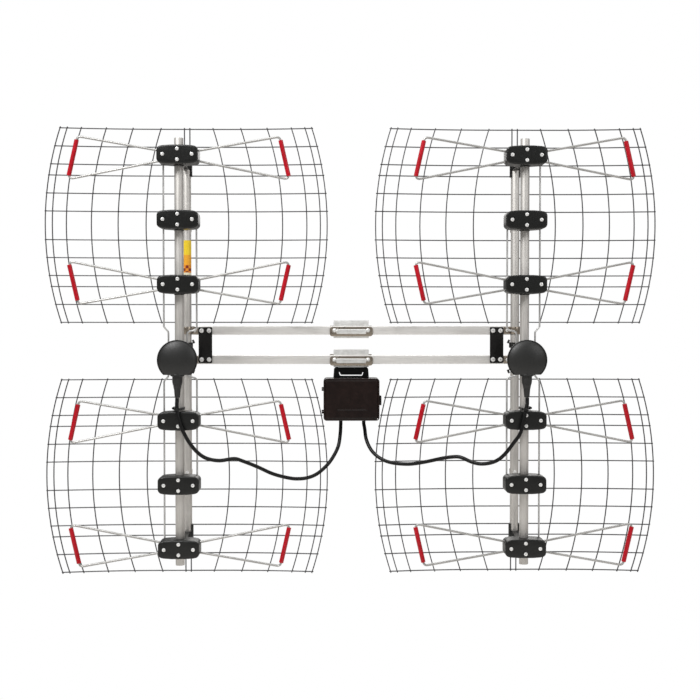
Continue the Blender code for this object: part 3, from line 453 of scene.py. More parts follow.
# %% [markdown]
# ## Reflectors
#
# A reflector is a grid of round wires welded where they cross. The upright wires lie in front and
# bow towards the middle at their ends, and all wires run a little past the last crossing.
# A Wireframe modifier on a flat grid would be quicker, but its bars are square and cross in one
# plane. So each wire is drawn point by point and given its thickness, and the same grid serves
# four times.

# %% Where the wires lie
PANEL_X, REAR_TUBE_Y = 0.3037, -0.0562
WIRE_RADIUS = 0.00115
REFLECTOR_Y = REAR_TUBE_Y + 0.00945
ROWS = [0.0531]
SPACINGS = (0.0330, 0.0330, 0.0203, 0.0330, 0.0330, 0.0526)
for spacing in SPACINGS + SPACINGS[-2::-1]:
    ROWS.append(ROWS[-1] + spacing)
GRID_MIDDLE = (ROWS[0] + ROWS[-1]) / 2
COLUMNS = [0.005]
for pitch in (0.0715, 0.0514, 0.0486, 0.045, 0.025, 0.0125):
    COLUMNS.append(COLUMNS[-1] + pitch)
print("each reflector has", len(ROWS), "rows and", 2 * len(COLUMNS), "columns")

# %% How the wires bend
ARC_RADIUS = 0.580
SIDE_BEND, SIDE_BEND_START = 0.014, 0.060
OVERHANG = 0.0022
WELD_OFFSET = WIRE_RADIUS * 0.8


def column_x(offset, height):
    """A column's distance from the panel's middle at a height; the two middle ones are straight."""
    if offset <= COLUMNS[0]:
        return offset
    rise = height - GRID_MIDDLE
    return offset - (ARC_RADIUS - math.sqrt(ARC_RADIUS ** 2 - rise ** 2))


def bent_y(offset):
    """How far forward the grid's sides are bent, at a distance from the panel's middle."""
    reach = max(offset - SIDE_BEND_START, 0) / (COLUMNS[-1] - SIDE_BEND_START)
    return REFLECTOR_Y - SIDE_BEND * reach ** 2


print("sides reach forward by", round(1000 * (REFLECTOR_Y - bent_y(COLUMNS[-1]))), "mm")

# %% One wire each way
UPRIGHT_STEPS, ROW_STEPS = 24, 14


def upright_wire(column, side):
    low, high = ROWS[0] - OVERHANG, ROWS[-1] + OVERHANG
    points = []
    for step in range(UPRIGHT_STEPS + 1):
        height = low + (high - low) * step / UPRIGHT_STEPS
        points.append((side * column_x(column, height), bent_y(column) - WELD_OFFSET, height))
    return drawn("wire", points, WIRE_RADIUS, 1)


def row_wire(row):
    end = column_x(COLUMNS[-1], row) + OVERHANG
    points = []
    for step in range(-ROW_STEPS, ROW_STEPS + 1):
        x = end * step / ROW_STEPS
        widest = abs(x) * COLUMNS[-1] / (end - OVERHANG)
        points.append((x, bent_y(min(widest, COLUMNS[-1])) + WELD_OFFSET, row))
    return drawn("wire", points, WIRE_RADIUS, 1)


wires = [upright_wire(column, side) for column in COLUMNS for side in (1, -1)]
wires += [row_wire(row) for row in ROWS]
print("wires", len(wires))

# %% Join, copy and remove
def joined(name, parts):
    """One object of these parts, under a new name."""
    bpy.ops.object.select_all(action="DESELECT")
    for part in parts:
        part.select_set(True)
    bpy.context.view_layer.objects.active = parts[0]
    if len(parts) > 1:
        bpy.ops.object.join()
    parts[0].name = parts[0].data.name = name
    return parts[0]


def copied(obj, name, shift=(0, 0, 0), mirror=False):
    """A copy with its own mesh, moved, and mirrored left to right first if asked."""
    only(obj)
    bpy.ops.object.duplicate(linked=False)
    twin = bpy.context.object
    twin.name = twin.data.name = name
    if mirror:
        twin.scale.x = -1
        settled(twin)
        pick(twin, "FACE", lambda centre, normal: True)
        bpy.ops.mesh.normals_make_consistent(inside=False)
        closed()
    twin.location = shift
    return settled(twin)


def removed(*helpers):
    """Delete objects that only helped to make others."""
    for helper in helpers:
        bpy.data.objects.remove(helper, do_unlink=True)


grid = joined("grid", wires)
print("grid faces", len(grid.data.polygons))

# %% Four reflectors
def dressed(obj, material, body, slot, *nodes):
    """Give a finished piece its material, the body it moves with and the nodes it stands for."""
    obj.data.materials.clear()
    obj.data.materials.append(material)
    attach(obj, body)
    if nodes:
        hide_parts(*nodes)
    return obj


for side_name, side in SIDES:
    for level, drop in (("upper", 0), ("lower", -2 * GRID_MIDDLE)):
        mesh = copied(grid, f"grid_{side_name}_{level}", (side * PANEL_X, 0, drop))
        dressed(mesh, WIRE, f"{side_name}_panel", "reflector_wire", f"reflector_{side_name}_{level}")
removed(grid)
print("a reflector is", round(mesh.dimensions.x, 3), "wide and", round(mesh.dimensions.z, 3), "high")

# %% [markdown]
# ## Tubes
#
# The four uprights are drawn aluminium tube, open at both ends. A bored cylinder would look the
# same, but a cylinder without its caps that gets its wall by Solidify needs no cutting and stays
# clean. A tiny bevel breaks the sawn edge.

# %% A tube with a wall
def turned_bar(name, base, radius, length, axis="Z", sides=32, fill="NGON"):
    """A round bar from base, along +Z or -Y, to be shaped further."""
    turns = {"Z": (0, 0, 0), "Y": (math.radians(90), 0, 0)}
    ways = {"Z": Vector((0, 0, 1)), "Y": Vector((0, -1, 0))}
    bpy.ops.object.select_all(action="DESELECT")
    bpy.ops.mesh.primitive_cylinder_add(
        vertices=sides, radius=radius, depth=length, end_fill_type=fill,
        location=Vector(base) + ways[axis] * length / 2, rotation=turns[axis])
    obj = bpy.context.object
    obj.name = obj.data.name = name
    return settled(obj)


def applied(obj, kind, **settings):
    """Add a modifier, set it, and apply it."""
    only(obj)
    step = obj.modifiers.new("step", kind)
    for key, value in settings.items():
        setattr(step, key, value)
    bpy.ops.object.modifier_apply(modifier=step.name)
    return obj


def soft_edges(obj, width, segments=2, degrees=35):
    """Round every sharp edge a little, as a mould or a press does, and shade it smooth."""
    applied(obj, "BEVEL", width=width, segments=segments, limit_method="ANGLE",
            angle_limit=math.radians(degrees))
    return smoothed(obj)


TUBE_RADIUS, TUBE_WALL = 0.00795, 0.0012


def open_tube(name, place, half_length):
    tube = turned_bar(name, (place[0], place[1], -half_length), TUBE_RADIUS, 2 * half_length,
                      sides=64, fill="NOTHING")
    applied(tube, "SOLIDIFY", thickness=TUBE_WALL, offset=-1)
    return soft_edges(tube, 0.00025, 2, 60)


print("the tube's bore is", round(2000 * (TUBE_RADIUS - TUBE_WALL), 1), "mm")

# %% Front and rear tubes
TUBE_SPACING = 0.105
FRONT_TUBE_Y = REAR_TUBE_Y - TUBE_SPACING
FRONT_HALF, REAR_HALF = 0.375, 0.362
for side_name, side in SIDES:
    body = f"{side_name}_panel"
    front = open_tube(f"front_upright_{side_name}", (side * PANEL_X, FRONT_TUBE_Y), FRONT_HALF)
    dressed(front, TUBE, body, "tube_aluminium", f"front_tube_{side_name}")
    rear = open_tube(f"rear_upright_{side_name}", (side * PANEL_X, REAR_TUBE_Y), REAR_HALF)
    dressed(rear, TUBE, body, "tube_aluminium", f"rear_tube_{side_name}")
print("tube faces", len(front.data.polygons))

# %% [markdown]
# ## Bow-tie elements
#
# Each bay has one closed loop of rod on each side, wide at its tip. The tip leans, because one leg is
# longer than the other, and a red plastic sleeve covers it. A straight bar could be bent by hand at
# each corner, but a drawn path with its corners rounded by one rule gives every loop the same bend.
# Two loops, long leg down and long leg up, are drawn once, mirrored, and copied to every bay.

# %% Rounded corners on a path
CORNER_STEPS = 6


def rounded_path(points, radius):
    """The path through points with each inner corner replaced by a curve of about this radius."""
    points = [Vector(point) for point in points]
    path = [points[0]]
    for before, corner, after in zip(points, points[1:], points[2:]):
        back, on = (before - corner).normalized(), (after - corner).normalized()
        reach = radius / math.tan(back.angle(on) / 2)
        reach = min(reach, (before - corner).length * 0.45, (after - corner).length * 0.45)
        start, end = corner + back * reach, corner + on * reach
        for step in range(CORNER_STEPS + 1):
            t = step / CORNER_STEPS
            path.append(start * (1 - t) ** 2 + corner * 2 * t * (1 - t) + end * t ** 2)
    path.append(points[-1])
    return path


print("points on one rounded corner:", len(rounded_path([(0, 0, 0), (0.1, 0, 0), (0.1, 0, 0.1)], 0.01)) - 2)

# %% One loop and its sleeve
ROD_RADIUS, SLEEVE_RADIUS, BEND_RADIUS = 0.002, 0.0040, 0.007
SLEEVE_GAP, SLEEVE_TAPER = 0.0065, 0.022
SOCKET_Z, ROOT_X, MOUTH_X = 0.0096, 0.0175, 0.037
SHORT_TIP, LONG_TIP = (0.1765, 0.034), (0.1935, 0.041)


def loop(short_up):
    up, down = (SHORT_TIP, LONG_TIP) if short_up else (LONG_TIP, SHORT_TIP)
    corners = [(MOUTH_X, SOCKET_Z), up, (down[0], -down[1]), (MOUTH_X, -SOCKET_Z)]
    path = rounded_path([(x, 0, z) for x, z in corners], BEND_RADIUS)
    rod = drawn("loop", [(ROOT_X, 0, SOCKET_Z), *path, (ROOT_X, 0, -SOCKET_Z)], ROD_RADIUS, 3)
    top, foot = Vector((up[0], 0, up[1])), Vector((down[0], 0, -down[1]))
    along = (foot - top).normalized()
    sleeve = drawn("sleeve", [top + along * SLEEVE_GAP, top + along * SLEEVE_TAPER,
                              foot - along * SLEEVE_TAPER, foot - along * SLEEVE_GAP], SLEEVE_RADIUS, 5)
    soft_edges(sleeve, 0.0006, 2, 50)
    return rod, sleeve


print("a bow-tie is", round(2000 * (LONG_TIP[0] + ROD_RADIUS)), "mm wide")

# %% Sixteen loops
BAYS = (("bay_1", 0.344, True), ("bay_2", 0.119, False), ("bay_3", -0.119, True), ("bay_4", -0.344, False))
for short_up in (True, False):
    rod, sleeve = loop(short_up)
    for side_name, side in SIDES:
        for bay, height, is_short_up in BAYS:
            if is_short_up != short_up:
                continue
            place = (side * PANEL_X, FRONT_TUBE_Y, height)
            for hand, mirrored in (("outer", side < 0), ("inner", side > 0)):
                name = f"{side_name}_{bay}_{hand}"
                twin = copied(rod, f"loop_{name}", place, mirrored)
                dressed(twin, ROD, f"{side_name}_panel", "element_rod", f"element_{name}")
                cover = copied(sleeve, f"sleeve_{name}", place, mirrored)
                dressed(cover, RED, f"{side_name}_panel", "sleeve_red")
    removed(rod, sleeve)
print("loop faces", len(twin.data.polygons))

# %% [markdown]
# ## Phase lines
#
# Two thinner rods run down behind the blocks and join the bays to the balun, and their bends are
# round. Each could be several straight bars butted together, but one drawn path keeps the rod whole
# through its bends.

# %% Four phase lines
PHASE_Y = FRONT_TUBE_Y + 0.0119
PHASE_X, PHASE_RADIUS, PHASE_BEND = 0.029, 0.0016, 0.006
FEED_DROP = 0.006
OUTER_LINE = ((PHASE_X, 0.350), (PHASE_X, 0.045), (PHASE_X - 0.008, 0.036))
INNER_LINE = ((0, 0.332), (0, 0.2505), (-PHASE_X, 0.2255), (-PHASE_X, 0.040), (-0.012, 0.036))
for side_name, side in SIDES:
    for hand, upper in (("outer", OUTER_LINE), ("inner", INNER_LINE)):
        lower = [(x, -z - FEED_DROP if z < 0.1 else -z) for x, z in reversed(upper)]
        points = [(side * (x + PANEL_X), PHASE_Y, z) for x, z in (*upper, *lower)]
        line = drawn(f"line_{side_name}_{hand}", rounded_path(points, PHASE_BEND), PHASE_RADIUS, 3)
        dressed(line, PHASE, f"{side_name}_panel", "phase_rod", f"phase_line_{side_name}_{hand}")
print("phase line faces", len(line.data.polygons))

# %% [markdown]
# ## Screws
#
# The same pan-head screw holds the blocks, the tie plates and the straps. A bevelled cylinder would
# be too flat on top, so its head is turned from a profile, and two crossed boxes cut its recess.
# It is modelled once in each size and copied to each place.

# %% A turned profile, and a box to start from
def spun(name, profile, centre, axis, sides):
    """A profile of (radius, height) points, turned about an axis through centre."""
    if axis == "Y":
        line = [(r, -h, 0) for r, h in profile]
        turn = (0, 1, 0)
    else:
        line = [(r, 0, h) for r, h in profile]
        turn = (0, 0, 1)
    obj = drawn(name, line)
    pick(obj, "VERT", lambda co, normal: True)
    bpy.ops.mesh.spin(steps=sides, angle=math.radians(360), center=(0, 0, 0), axis=turn)
    bpy.ops.mesh.select_all(action="SELECT")
    bpy.ops.mesh.remove_doubles(threshold=MERGE_DISTANCE)
    bpy.ops.mesh.normals_make_consistent(inside=False)
    closed()
    obj.location = centre
    return smoothed(settled(obj), 35)


def slab(name, centre, size):
    """A box of this size, to be shaped further."""
    bpy.ops.object.select_all(action="DESELECT")
    bpy.ops.mesh.primitive_cube_add(size=1, location=centre)
    obj = bpy.context.object
    obj.name = obj.data.name = name
    obj.scale = size
    return settled(obj)


# %% Pan-head screws, facing forward
def pan_head(radius, rise):
    profile = [(0, rise), (radius * 0.45, rise * 0.97), (radius * 0.8, rise * 0.78),
               (radius * 0.96, rise * 0.4), (radius, 0), (0, 0)]
    head = spun("head", profile, (0, 0, 0), "Y", 24)
    arms = [slab("arm", (0, -rise, 0), (radius * 1.1, rise, radius * 0.24)),
            slab("arm", (0, -rise, 0), (radius * 0.24, rise, radius * 1.1))]
    for arm in arms:
        applied(head, "BOOLEAN", object=arm, operation="DIFFERENCE", solver="EXACT")
    removed(*arms)
    return smoothed(head, 40)


BLOCK_SCREW = pan_head(0.0034, 0.0020)
PLATE_SCREW = pan_head(0.0043, 0.0026)
print("screw faces", len(BLOCK_SCREW.data.polygons))

# %% [markdown]
# ## Insulating blocks
#
# Each block is a moulded shell of black plastic with a slightly crowned top and bottom, round ends,
# and four counterbores for its screws. It could be an outline pulled forward, but then the crown
# would be lost. So it starts as a box, is cut across so that its ends can be drawn in, and its edges
# are bevelled. A slim black collar round the tube shows under it, as painted shade on the tube below
# the block. The two outer blocks of a panel also reach back to the rear tube with an arm, a clip, and
# two cheeks beside the tube.

# %% Block
BLOCK_FRONT, BLOCK_BACK, BLOCK_WIDTH, BLOCK_HEIGHT = -0.024, 0.010, 0.072, 0.033
SCREW_SPOTS = ((-0.0255, 0), (0.0255, 0), (0, 0.0093), (0, -0.0093))
BORE_RADIUS, BORE_DEPTH = 0.0047, 0.0009


def block_body():
    """The crowned box with its round ends and rounded front."""
    body = slab("block", (0, (BLOCK_FRONT + BLOCK_BACK) / 2, 0),
                (BLOCK_WIDTH, BLOCK_BACK - BLOCK_FRONT, BLOCK_HEIGHT))
    for x in (-0.025, -0.012, 0.012, 0.025):
        pick(body, "FACE", lambda centre, normal: True)
        bpy.ops.mesh.bisect(plane_co=(x, 0, 0), plane_no=(1, 0, 0))
        closed()
    for near, far, share in ((0.020, 0.030, 0.945), (0.030, 0.040, 0.82)):
        pick(body, "VERT", lambda co, normal: near < abs(co.x) < far)
        bpy.ops.transform.resize(value=(1, 1, share), center_override=(0, 0, 0))
        closed()
    pick(body, "EDGE", lambda centre, way: abs(centre.x) > 0.035 and abs(way.y) > ALONG)
    bpy.ops.mesh.bevel(offset=0.0065, segments=6, affect="EDGES")
    closed()
    pick(body, "FACE", lambda centre, normal: normal.y < -ALONG)
    bpy.ops.mesh.dissolve_faces()
    bpy.ops.mesh.bevel(offset=0.0028, segments=4, affect="EDGES")
    closed()
    return body


def block_shape():
    body = block_body()
    bores = joined("bores", [turned_bar("bore", (x, BLOCK_FRONT + BORE_DEPTH, z), BORE_RADIUS, 0.01, "Y", 24)
                             for x, z in SCREW_SPOTS])
    applied(body, "BOOLEAN", object=bores, operation="DIFFERENCE", solver="EXACT")
    removed(bores)
    # The collar is a slim dark ring nearly flush with the tube under the block: painted shade where the
    # block shades the tube.
    collar = spun("collar", [(0.0080, -0.0181), (0.0086, -0.0181), (0.0090, -0.0176), (0.0090, -0.012),
                             (0.0080, -0.012), (0.0080, -0.0181)], (0, 0, 0), "Z", 40)
    rib = slab("rib", (0, BLOCK_BACK + 0.0004, 0), (0.050, 0.0012, 0.003))
    soft_edges(rib, 0.0004)
    return smoothed(joined("block", [body, collar, rib]), 40)


plain_block = block_shape()
print("plain block faces", len(plain_block.data.polygons))

# %% Rear clip
CLIP_INSIDE, CLIP_WALL, CLIP_STEP = 0.0083, 0.0022, 9


def raised_band(line, height):
    """Pull a drawn line up into an upright band."""
    pick(line, "EDGE", lambda centre, way: True)
    bpy.ops.mesh.extrude_region_move(TRANSFORM_OT_translate={"value": (0, 0, height)})
    bpy.ops.mesh.select_all(action="SELECT")
    bpy.ops.mesh.remove_doubles(threshold=MERGE_DISTANCE)
    bpy.ops.mesh.normals_make_consistent(inside=False)
    closed()
    return line


def clip_shape(low, high, first=145, last=395):
    """An open sleeve round the rear tube between two angles, seen from the front tube's axis."""
    steps = round((last - first) / CLIP_STEP)
    angles = [math.radians(first + (last - first) * i / steps) for i in range(steps + 1)]
    line = [(CLIP_INSIDE * math.cos(a), TUBE_SPACING + CLIP_INSIDE * math.sin(a), low) for a in angles]
    clip = raised_band(drawn("clip", line), high - low)
    outwards = sum(face.normal.dot(face.center - Vector((0, TUBE_SPACING, face.center.z)))
                   for face in clip.data.polygons)
    applied(clip, "SOLIDIFY", thickness=CLIP_WALL, offset=1 if outwards > 0 else -1)
    return soft_edges(clip, 0.0004)


print("a clip leaves", round(1000 * (CLIP_INSIDE - TUBE_RADIUS), 2), "mm round the tube")

# %% Arm
ARM_WIDTH, ARM_OVERLAP = 0.012, 0.001


def arm_shape(low, high):
    """A waisted bar from a block's back to its clip."""
    reach = TUBE_SPACING - CLIP_INSIDE - 0.0008
    middle = ((BLOCK_BACK - ARM_OVERLAP + reach) / 2, (low + high) / 2)
    arm = slab("arm", (0, *middle), (ARM_WIDTH, reach - BLOCK_BACK + ARM_OVERLAP, high - low))
    pick(arm, "FACE", lambda centre, normal: abs(normal.x) > ALONG)
    bpy.ops.mesh.inset(thickness=0.0025)
    bpy.ops.transform.resize(value=(0.45, 1, 1), center_override=(0, 0, 0))
    closed()
    return soft_edges(arm, 0.0005)


def reach_back(way):
    """The arm, the clip and the two cheeks of an outer block, whose cheeks point up or down."""
    low, high = sorted((way * 0.009, -way * 0.0225))
    return [arm_shape(-0.0095, 0.0095), clip_shape(-0.0095, 0.0095),
            clip_shape(low, high, 145, 215), clip_shape(low, high, 325, 395)]


print("an arm reaches", round(1000 * (TUBE_SPACING - CLIP_INSIDE - BLOCK_BACK)), "mm back")

# %% Twelve blocks
REACHING_BACK = ("bay_1", "bay_4")
BLOCKS = [(bay, height, 1 if height > 0 else -1) for bay, height, _ in BAYS]
BLOCKS += [("middle_upper", 0.2315, 1), ("middle_lower", -0.2315, -1)]
for side_name, side in SIDES:
    body, screws = f"{side_name}_panel", []
    for place_name, height, way in BLOCKS:
        place = (side * PANEL_X, FRONT_TUBE_Y, height)
        twin = copied(plain_block, f"block_{side_name}_{place_name}", place)
        if place_name in REACHING_BACK:
            extras = reach_back(way)
            for extra in extras:
                extra.location = place
                settled(extra)
            twin = joined(twin.name, [twin, *extras])
        dressed(twin, BLACK, body, "black_plastic", f"insulator_{side_name}_{place_name}")
        for x, z in SCREW_SPOTS:
            spot = (place[0] + x, place[1] + BLOCK_FRONT + BORE_DEPTH, place[2] + z)
            screws.append(copied(BLOCK_SCREW, "screw", spot))
    dressed(joined(f"block_screws_{side_name}", screws), SCREW, body, "zinc_steel")
removed(plain_block)
print("block faces", len(twin.data.polygons))

# %% [markdown]
# ## Balun housings
#
# A shallow round cover with a thin raised rim hides the matching transformer. A flattened sphere
# would miss the rim and its groove, so a profile turned about Y makes the cover, and one straight cut
# gives it the flat lower edge from which the cable's rubber boot hangs. The boot steps down and
# tapers, so that the cable can't kink where it leaves.

# %% Dome
DOME_Z, CHORD = -0.0126, 0.0256
VENT_SPOTS = ((-0.004, 0.006), (0, 0.0075), (0.004, 0.006))


def dome_shape():
    crown = [(0, 0.0394), (0.0065, 0.03925), (0.0125, 0.0386), (0.0185, 0.0375), (0.0240, 0.0359),
             (0.0285, 0.0341), (0.0318, 0.0321), (0.0331, 0.0310), (0.0335, 0.0304), (0.0338, 0.0311),
             (0.0345, 0.0313), (0.0350, 0.0308), (0.0350, 0.0290), (0.0345, 0.0283), (0.0322, 0.0125),
             (0, 0.0122)]
    dome = spun("dome", crown, (0, 0, DOME_Z), "Y", 96)
    pick(dome, "FACE", lambda centre, normal: True)
    bpy.ops.mesh.bisect(plane_co=(0, 0, DOME_Z - CHORD), plane_no=(0, 0, 1), use_fill=True,
                        clear_inner=True)
    closed()
    soft_edges(dome, 0.0005, 2, 50)
    vents = [turned_bar("pip", (x, -0.0380, DOME_Z + z), 0.0007, 0.0014, "Y", 12) for x, z in VENT_SPOTS]
    for vent in vents:
        soft_edges(vent, 0.0002)
    return joined("dome", [dome, *vents])


print("the cover's flat edge lies", round(1000 * CHORD, 1), "mm below its middle")

# %% Boot
BOOT_LEAN, BOOT_TURN = math.radians(3.9), math.radians(0.9)


def boot_shape(side):
    steps = [(0, 0.012), (0.0118, 0.012), (0.0122, 0.0112), (0.0122, 0.0085), (0.0112, 0.0077),
             (0.0089, 0.0072), (0.0089, -0.0010), (0.0083, -0.0055), (0.0079, -0.0060), (0.0079, -0.0072),
             (0.0073, -0.0078), (0.0066, -0.0125), (0.0063, -0.0130), (0.0063, -0.0142), (0.0058, -0.0148),
             (0.0051, -0.0230), (0.0046, -0.0290), (0.0043, -0.0298), (0, -0.0298)]
    boot = spun("boot", steps, (0, 0, 0), "Z", 40)
    boot.rotation_euler = (BOOT_LEAN, -side * BOOT_TURN, 0)
    boot.location = (side * 0.00055, -0.02395, -0.0482)
    return smoothed(settled(boot), 30)


print("the boot leans by", round(math.degrees(BOOT_LEAN), 1), "degrees")

# %% Bracket with its two clips
PRONG_TILT = math.radians(24)


def bracket_shape(side):
    parts = [slab("bracket", (0, -0.0025, -0.0115), (0.038, 0.025, 0.050))]
    soft_edges(parts[0], 0.002, 3)
    for low, high in ((-0.036, -0.025), (0.006, 0.016)):
        parts += [arm_shape(low, high), clip_shape(low, high)]
        prong = slab("prong", (0, 0, 0), (0.0034, 0.006, 0.0070))
        prong.rotation_euler = (0, side * (PRONG_TILT if low > 0 else -PRONG_TILT), 0)
        prong.location = (-side * 0.0114, TUBE_SPACING + 0.001, high + 0.0015 if low > 0 else low - 0.0022)
        parts.append(soft_edges(settled(prong), 0.0006))
    return parts


print("a prong tilts by", round(math.degrees(PRONG_TILT)), "degrees")

# %% Two housings
for side_name, side in SIDES:
    housing = joined(f"dome_{side_name}", [dome_shape(), boot_shape(side), *bracket_shape(side)])
    housing.location = (side * PANEL_X, FRONT_TUBE_Y, 0)
    settled(housing)
    dressed(housing, COVER, f"{side_name}_panel", "black_plastic", f"balun_housing_{side_name}")
print("housing faces", len(housing.data.polygons))

# %% [markdown]
# ## Rails, tie plates and end caps
#
# The two rails are square extruded tube, whose long edges are rounded by the die. They are hollow, and
# black caps close them. An outline could be pulled along X as the die does; a box with its long edges
# bevelled and its ends open gives the same shape in fewer steps. A black plate ties the rails together
# beside each panel with four screws.

# %% End caps
RAIL_Y, RAIL_SIDE, RAIL_END, RAIL_WALL = -0.040, 0.0159, 0.318, 0.0016
CAP_THICKNESS, CAP_SIDE = 0.0026, 0.0164
CORE_LENGTH, CORE_SIDE = 0.014, 0.0124


def end_caps(height):
    """A cap at each end of a rail, with the core that plugs into it."""
    caps = []
    for side in (-1, 1):
        cap = slab("cap", (side * (RAIL_END + 0.0009), RAIL_Y, height), (CAP_THICKNESS, CAP_SIDE, CAP_SIDE))
        core = slab("core", (side * (RAIL_END - 0.006), RAIL_Y, height), (CORE_LENGTH, CORE_SIDE, CORE_SIDE))
        caps += [soft_edges(cap, 0.0007), soft_edges(core, 0.0006)]
    return caps


print("a cap stands", round(1000 * (CAP_SIDE - RAIL_SIDE) / 2, 2), "mm proud of its rail")

# %% Rails
def cornered(obj, radius, segments, along="y"):
    """Round those edges of a box that run along an axis."""
    pick(obj, "EDGE", lambda centre, way: abs(getattr(way, along)) > ALONG)
    bpy.ops.mesh.bevel(offset=radius, segments=segments, affect="EDGES")
    closed()
    return obj


RAILS = (("upper", 0.038), ("lower", -0.0165))
for level, height in RAILS:
    rail = slab(f"rail_tube_{level}", (0, RAIL_Y, height), (2 * RAIL_END, RAIL_SIDE, RAIL_SIDE))
    cornered(rail, 0.0011, 4, "x")
    pick(rail, "FACE", lambda centre, normal: abs(normal.x) > ALONG)
    bpy.ops.mesh.delete(type="FACE")
    closed()
    applied(rail, "SOLIDIFY", thickness=RAIL_WALL, offset=-1)
    smoothed(rail, 50)
    dressed(rail, RAIL, "boom", "rail_aluminium", f"rail_{level}")
    dressed(joined(f"rail_caps_{level}", end_caps(height)), BLACK, "boom", "black_plastic")
print("rail faces", len(rail.data.polygons))

# %% Tie plates and their screws
TIE_PLATE_X, TIE_PLATE_SIZE = 0.271, (0.025, 0.003, 0.0669)
RAIL_FRONT = RAIL_Y - RAIL_SIDE / 2
for side_name, side in SIDES:
    middle = (side * TIE_PLATE_X, RAIL_FRONT - 0.0018, (RAILS[0][1] + RAILS[1][1]) / 2)
    plate = cornered(slab(f"tie_{side_name}", middle, TIE_PLATE_SIZE), 0.002, 4)
    soft_edges(plate, 0.0004, 2)
    dressed(plate, BLACK_STEEL, "boom", "black_steel", f"tie_plate_{side_name}")
    spots = [(middle[0] + x, RAIL_FRONT - 0.0032, middle[2] + z) for x in (-0.0069, 0.0069)
             for z in (-0.0268, 0.0268)]
    heads = [copied(PLATE_SCREW, "screw", spot) for spot in spots]
    dressed(joined(f"tie_screws_{side_name}", heads), SCREW, "boom", "zinc_steel")
print("tie plate faces", len(plate.data.polygons))

# %% [markdown]
# ## Mast clamps
#
# Each clamp has a front plate with a pressed bead, two carriage bolts, a toothed saddle between the
# rail and the mast, and a toothed jaw behind the mast that two wing nuts draw in. The saddles, jaws
# and straps could be drawn anew, but their outlines count for the fit. So they are copies of the CAD
# solids, cleaned and given small rounded edges.

# %% A softened copy of a CAD solid
def softened(node, width):
    twin = copied(bpy.data.objects[node], node + "_soft")
    for key in list(twin.keys()):
        del twin[key]
    bpy.ops.mesh.customdata_custom_splitnormals_clear()
    pick(twin, "FACE", lambda centre, normal: True)
    bpy.ops.mesh.remove_doubles(threshold=MERGE_DISTANCE)
    bpy.ops.mesh.dissolve_limited(angle_limit=math.radians(1))
    bpy.ops.mesh.normals_make_consistent(inside=False)
    closed()
    return soft_edges(twin, width, 2, 25)


for level in ("upper", "lower"):
    saddle = softened(f"saddle_{level}", 0.0003)
    dressed(saddle, PALE_ZINC_AND_BEAD_HIGHLIGHT, "boom", "zinc_steel", f"saddle_{level}")
    jaw = softened(f"jaw_{level}", 0.0003)
    dressed(jaw, ZINC, f"{level}_jaw", "zinc_steel", f"jaw_{level}")
print("saddle faces", len(saddle.data.polygons), "and jaw faces", len(jaw.data.polygons))

# %% A pressed bead with its groove
PLATE_BACK = RAIL_FRONT - 0.0001
PLATE_DROP = 0.0022


def bead_shape(height):
    bead = cornered(slab("bead", (0, PLATE_BACK - 0.0028, height), (0.056, 0.0024, 0.0092)), 0.003, 5)
    pick(bead, "FACE", lambda centre, normal: normal.y < -ALONG)
    bpy.ops.mesh.bevel(offset=0.0014, segments=5, affect="EDGES")
    closed()
    groove = cornered(slab("groove", (0, PLATE_BACK - 0.0042, height), (0.0490, 0.0012, 0.0032)), 0.0015, 4)
    applied(bead, "BOOLEAN", object=groove, operation="DIFFERENCE", solver="EXACT")
    removed(groove)
    return smoothed(bead)


print("the plates sit", round(1000 * PLATE_DROP, 1), "mm below the rails' middles")

# %% Front plates with their beads
for level, height in RAILS:
    plate = slab("plate", (0, PLATE_BACK - 0.00125, height - PLATE_DROP), (0.080, 0.0025, 0.0175))
    soft_edges(cornered(plate, 0.0048, 6), 0.0004)
    bead = joined(f"front_bead_painted_highlight_{level}", [bead_shape(height - PLATE_DROP)])
    # The bead is pressed from the same plate, so its paler finish is painted highlight along its crown.
    dressed(bead, PALE_ZINC_AND_BEAD_HIGHLIGHT, "boom", "zinc_steel")
    plate = joined(f"front_plate_{level}", [plate])
    dressed(plate, ZINC, "boom", "zinc_steel", f"clamp_plate_{level}")
print("front plate faces", len(plate.data.polygons))

# %% A carriage bolt with its thread
THREAD_START, THREAD_END, THREAD_PITCH = 0.0702, 0.0938, 0.0010
THREAD_TOP, THREAD_ROOT = 0.0030, 0.00262
bolt_line = [(0, 0.0054), (0.0018, 0.0051), (0.0031, 0.0043), (0.0039, 0.0034), (0.0041, 0.0027),
             (0.0041, 0.0025), (THREAD_TOP, 0.0025), (THREAD_TOP, -0.0700)]
for i in range(round((THREAD_END - THREAD_START) / THREAD_PITCH)):
    top = -THREAD_START - i * THREAD_PITCH
    bolt_line += [(THREAD_TOP, top), (THREAD_ROOT, top - THREAD_PITCH / 2)]
bolt_line += [(0.0026, -THREAD_END), (0, -THREAD_END)]
bolt = spun("bolt", bolt_line, (0, 0, 0), "Y", 24)
print("bolt faces", len(bolt.data.polygons))

# %% A wing nut
def wing_nut():
    hub = spun("hub", [(0.0031, 0), (0.0056, 0), (0.0058, -0.0006), (0.0046, -0.0070), (0.0042, -0.0076),
                       (0.0031, -0.0076), (0.0031, 0)], (0, 0, 0), "Y", 32)
    parts = [hub]
    for side in (-1, 1):
        wing = slab("wing", (side * 0.0082, 0.0072, 0), (0.0100, 0.0110, 0.0018))
        pick(wing, "VERT", lambda co, normal: abs(co.x) > 0.01 and co.y < 0.004)
        bpy.ops.transform.translate(value=(0, 0.0050, 0))
        closed()
        pick(wing, "EDGE", lambda centre, way: abs(way.z) > ALONG and abs(centre.x) > 0.01)
        bpy.ops.mesh.bevel(offset=0.0030, segments=4, affect="EDGES")
        closed()
        parts.append(soft_edges(wing, 0.0005))
    return joined("wing_nut", parts)


nut = wing_nut()
print("wing nut faces", len(nut.data.polygons))

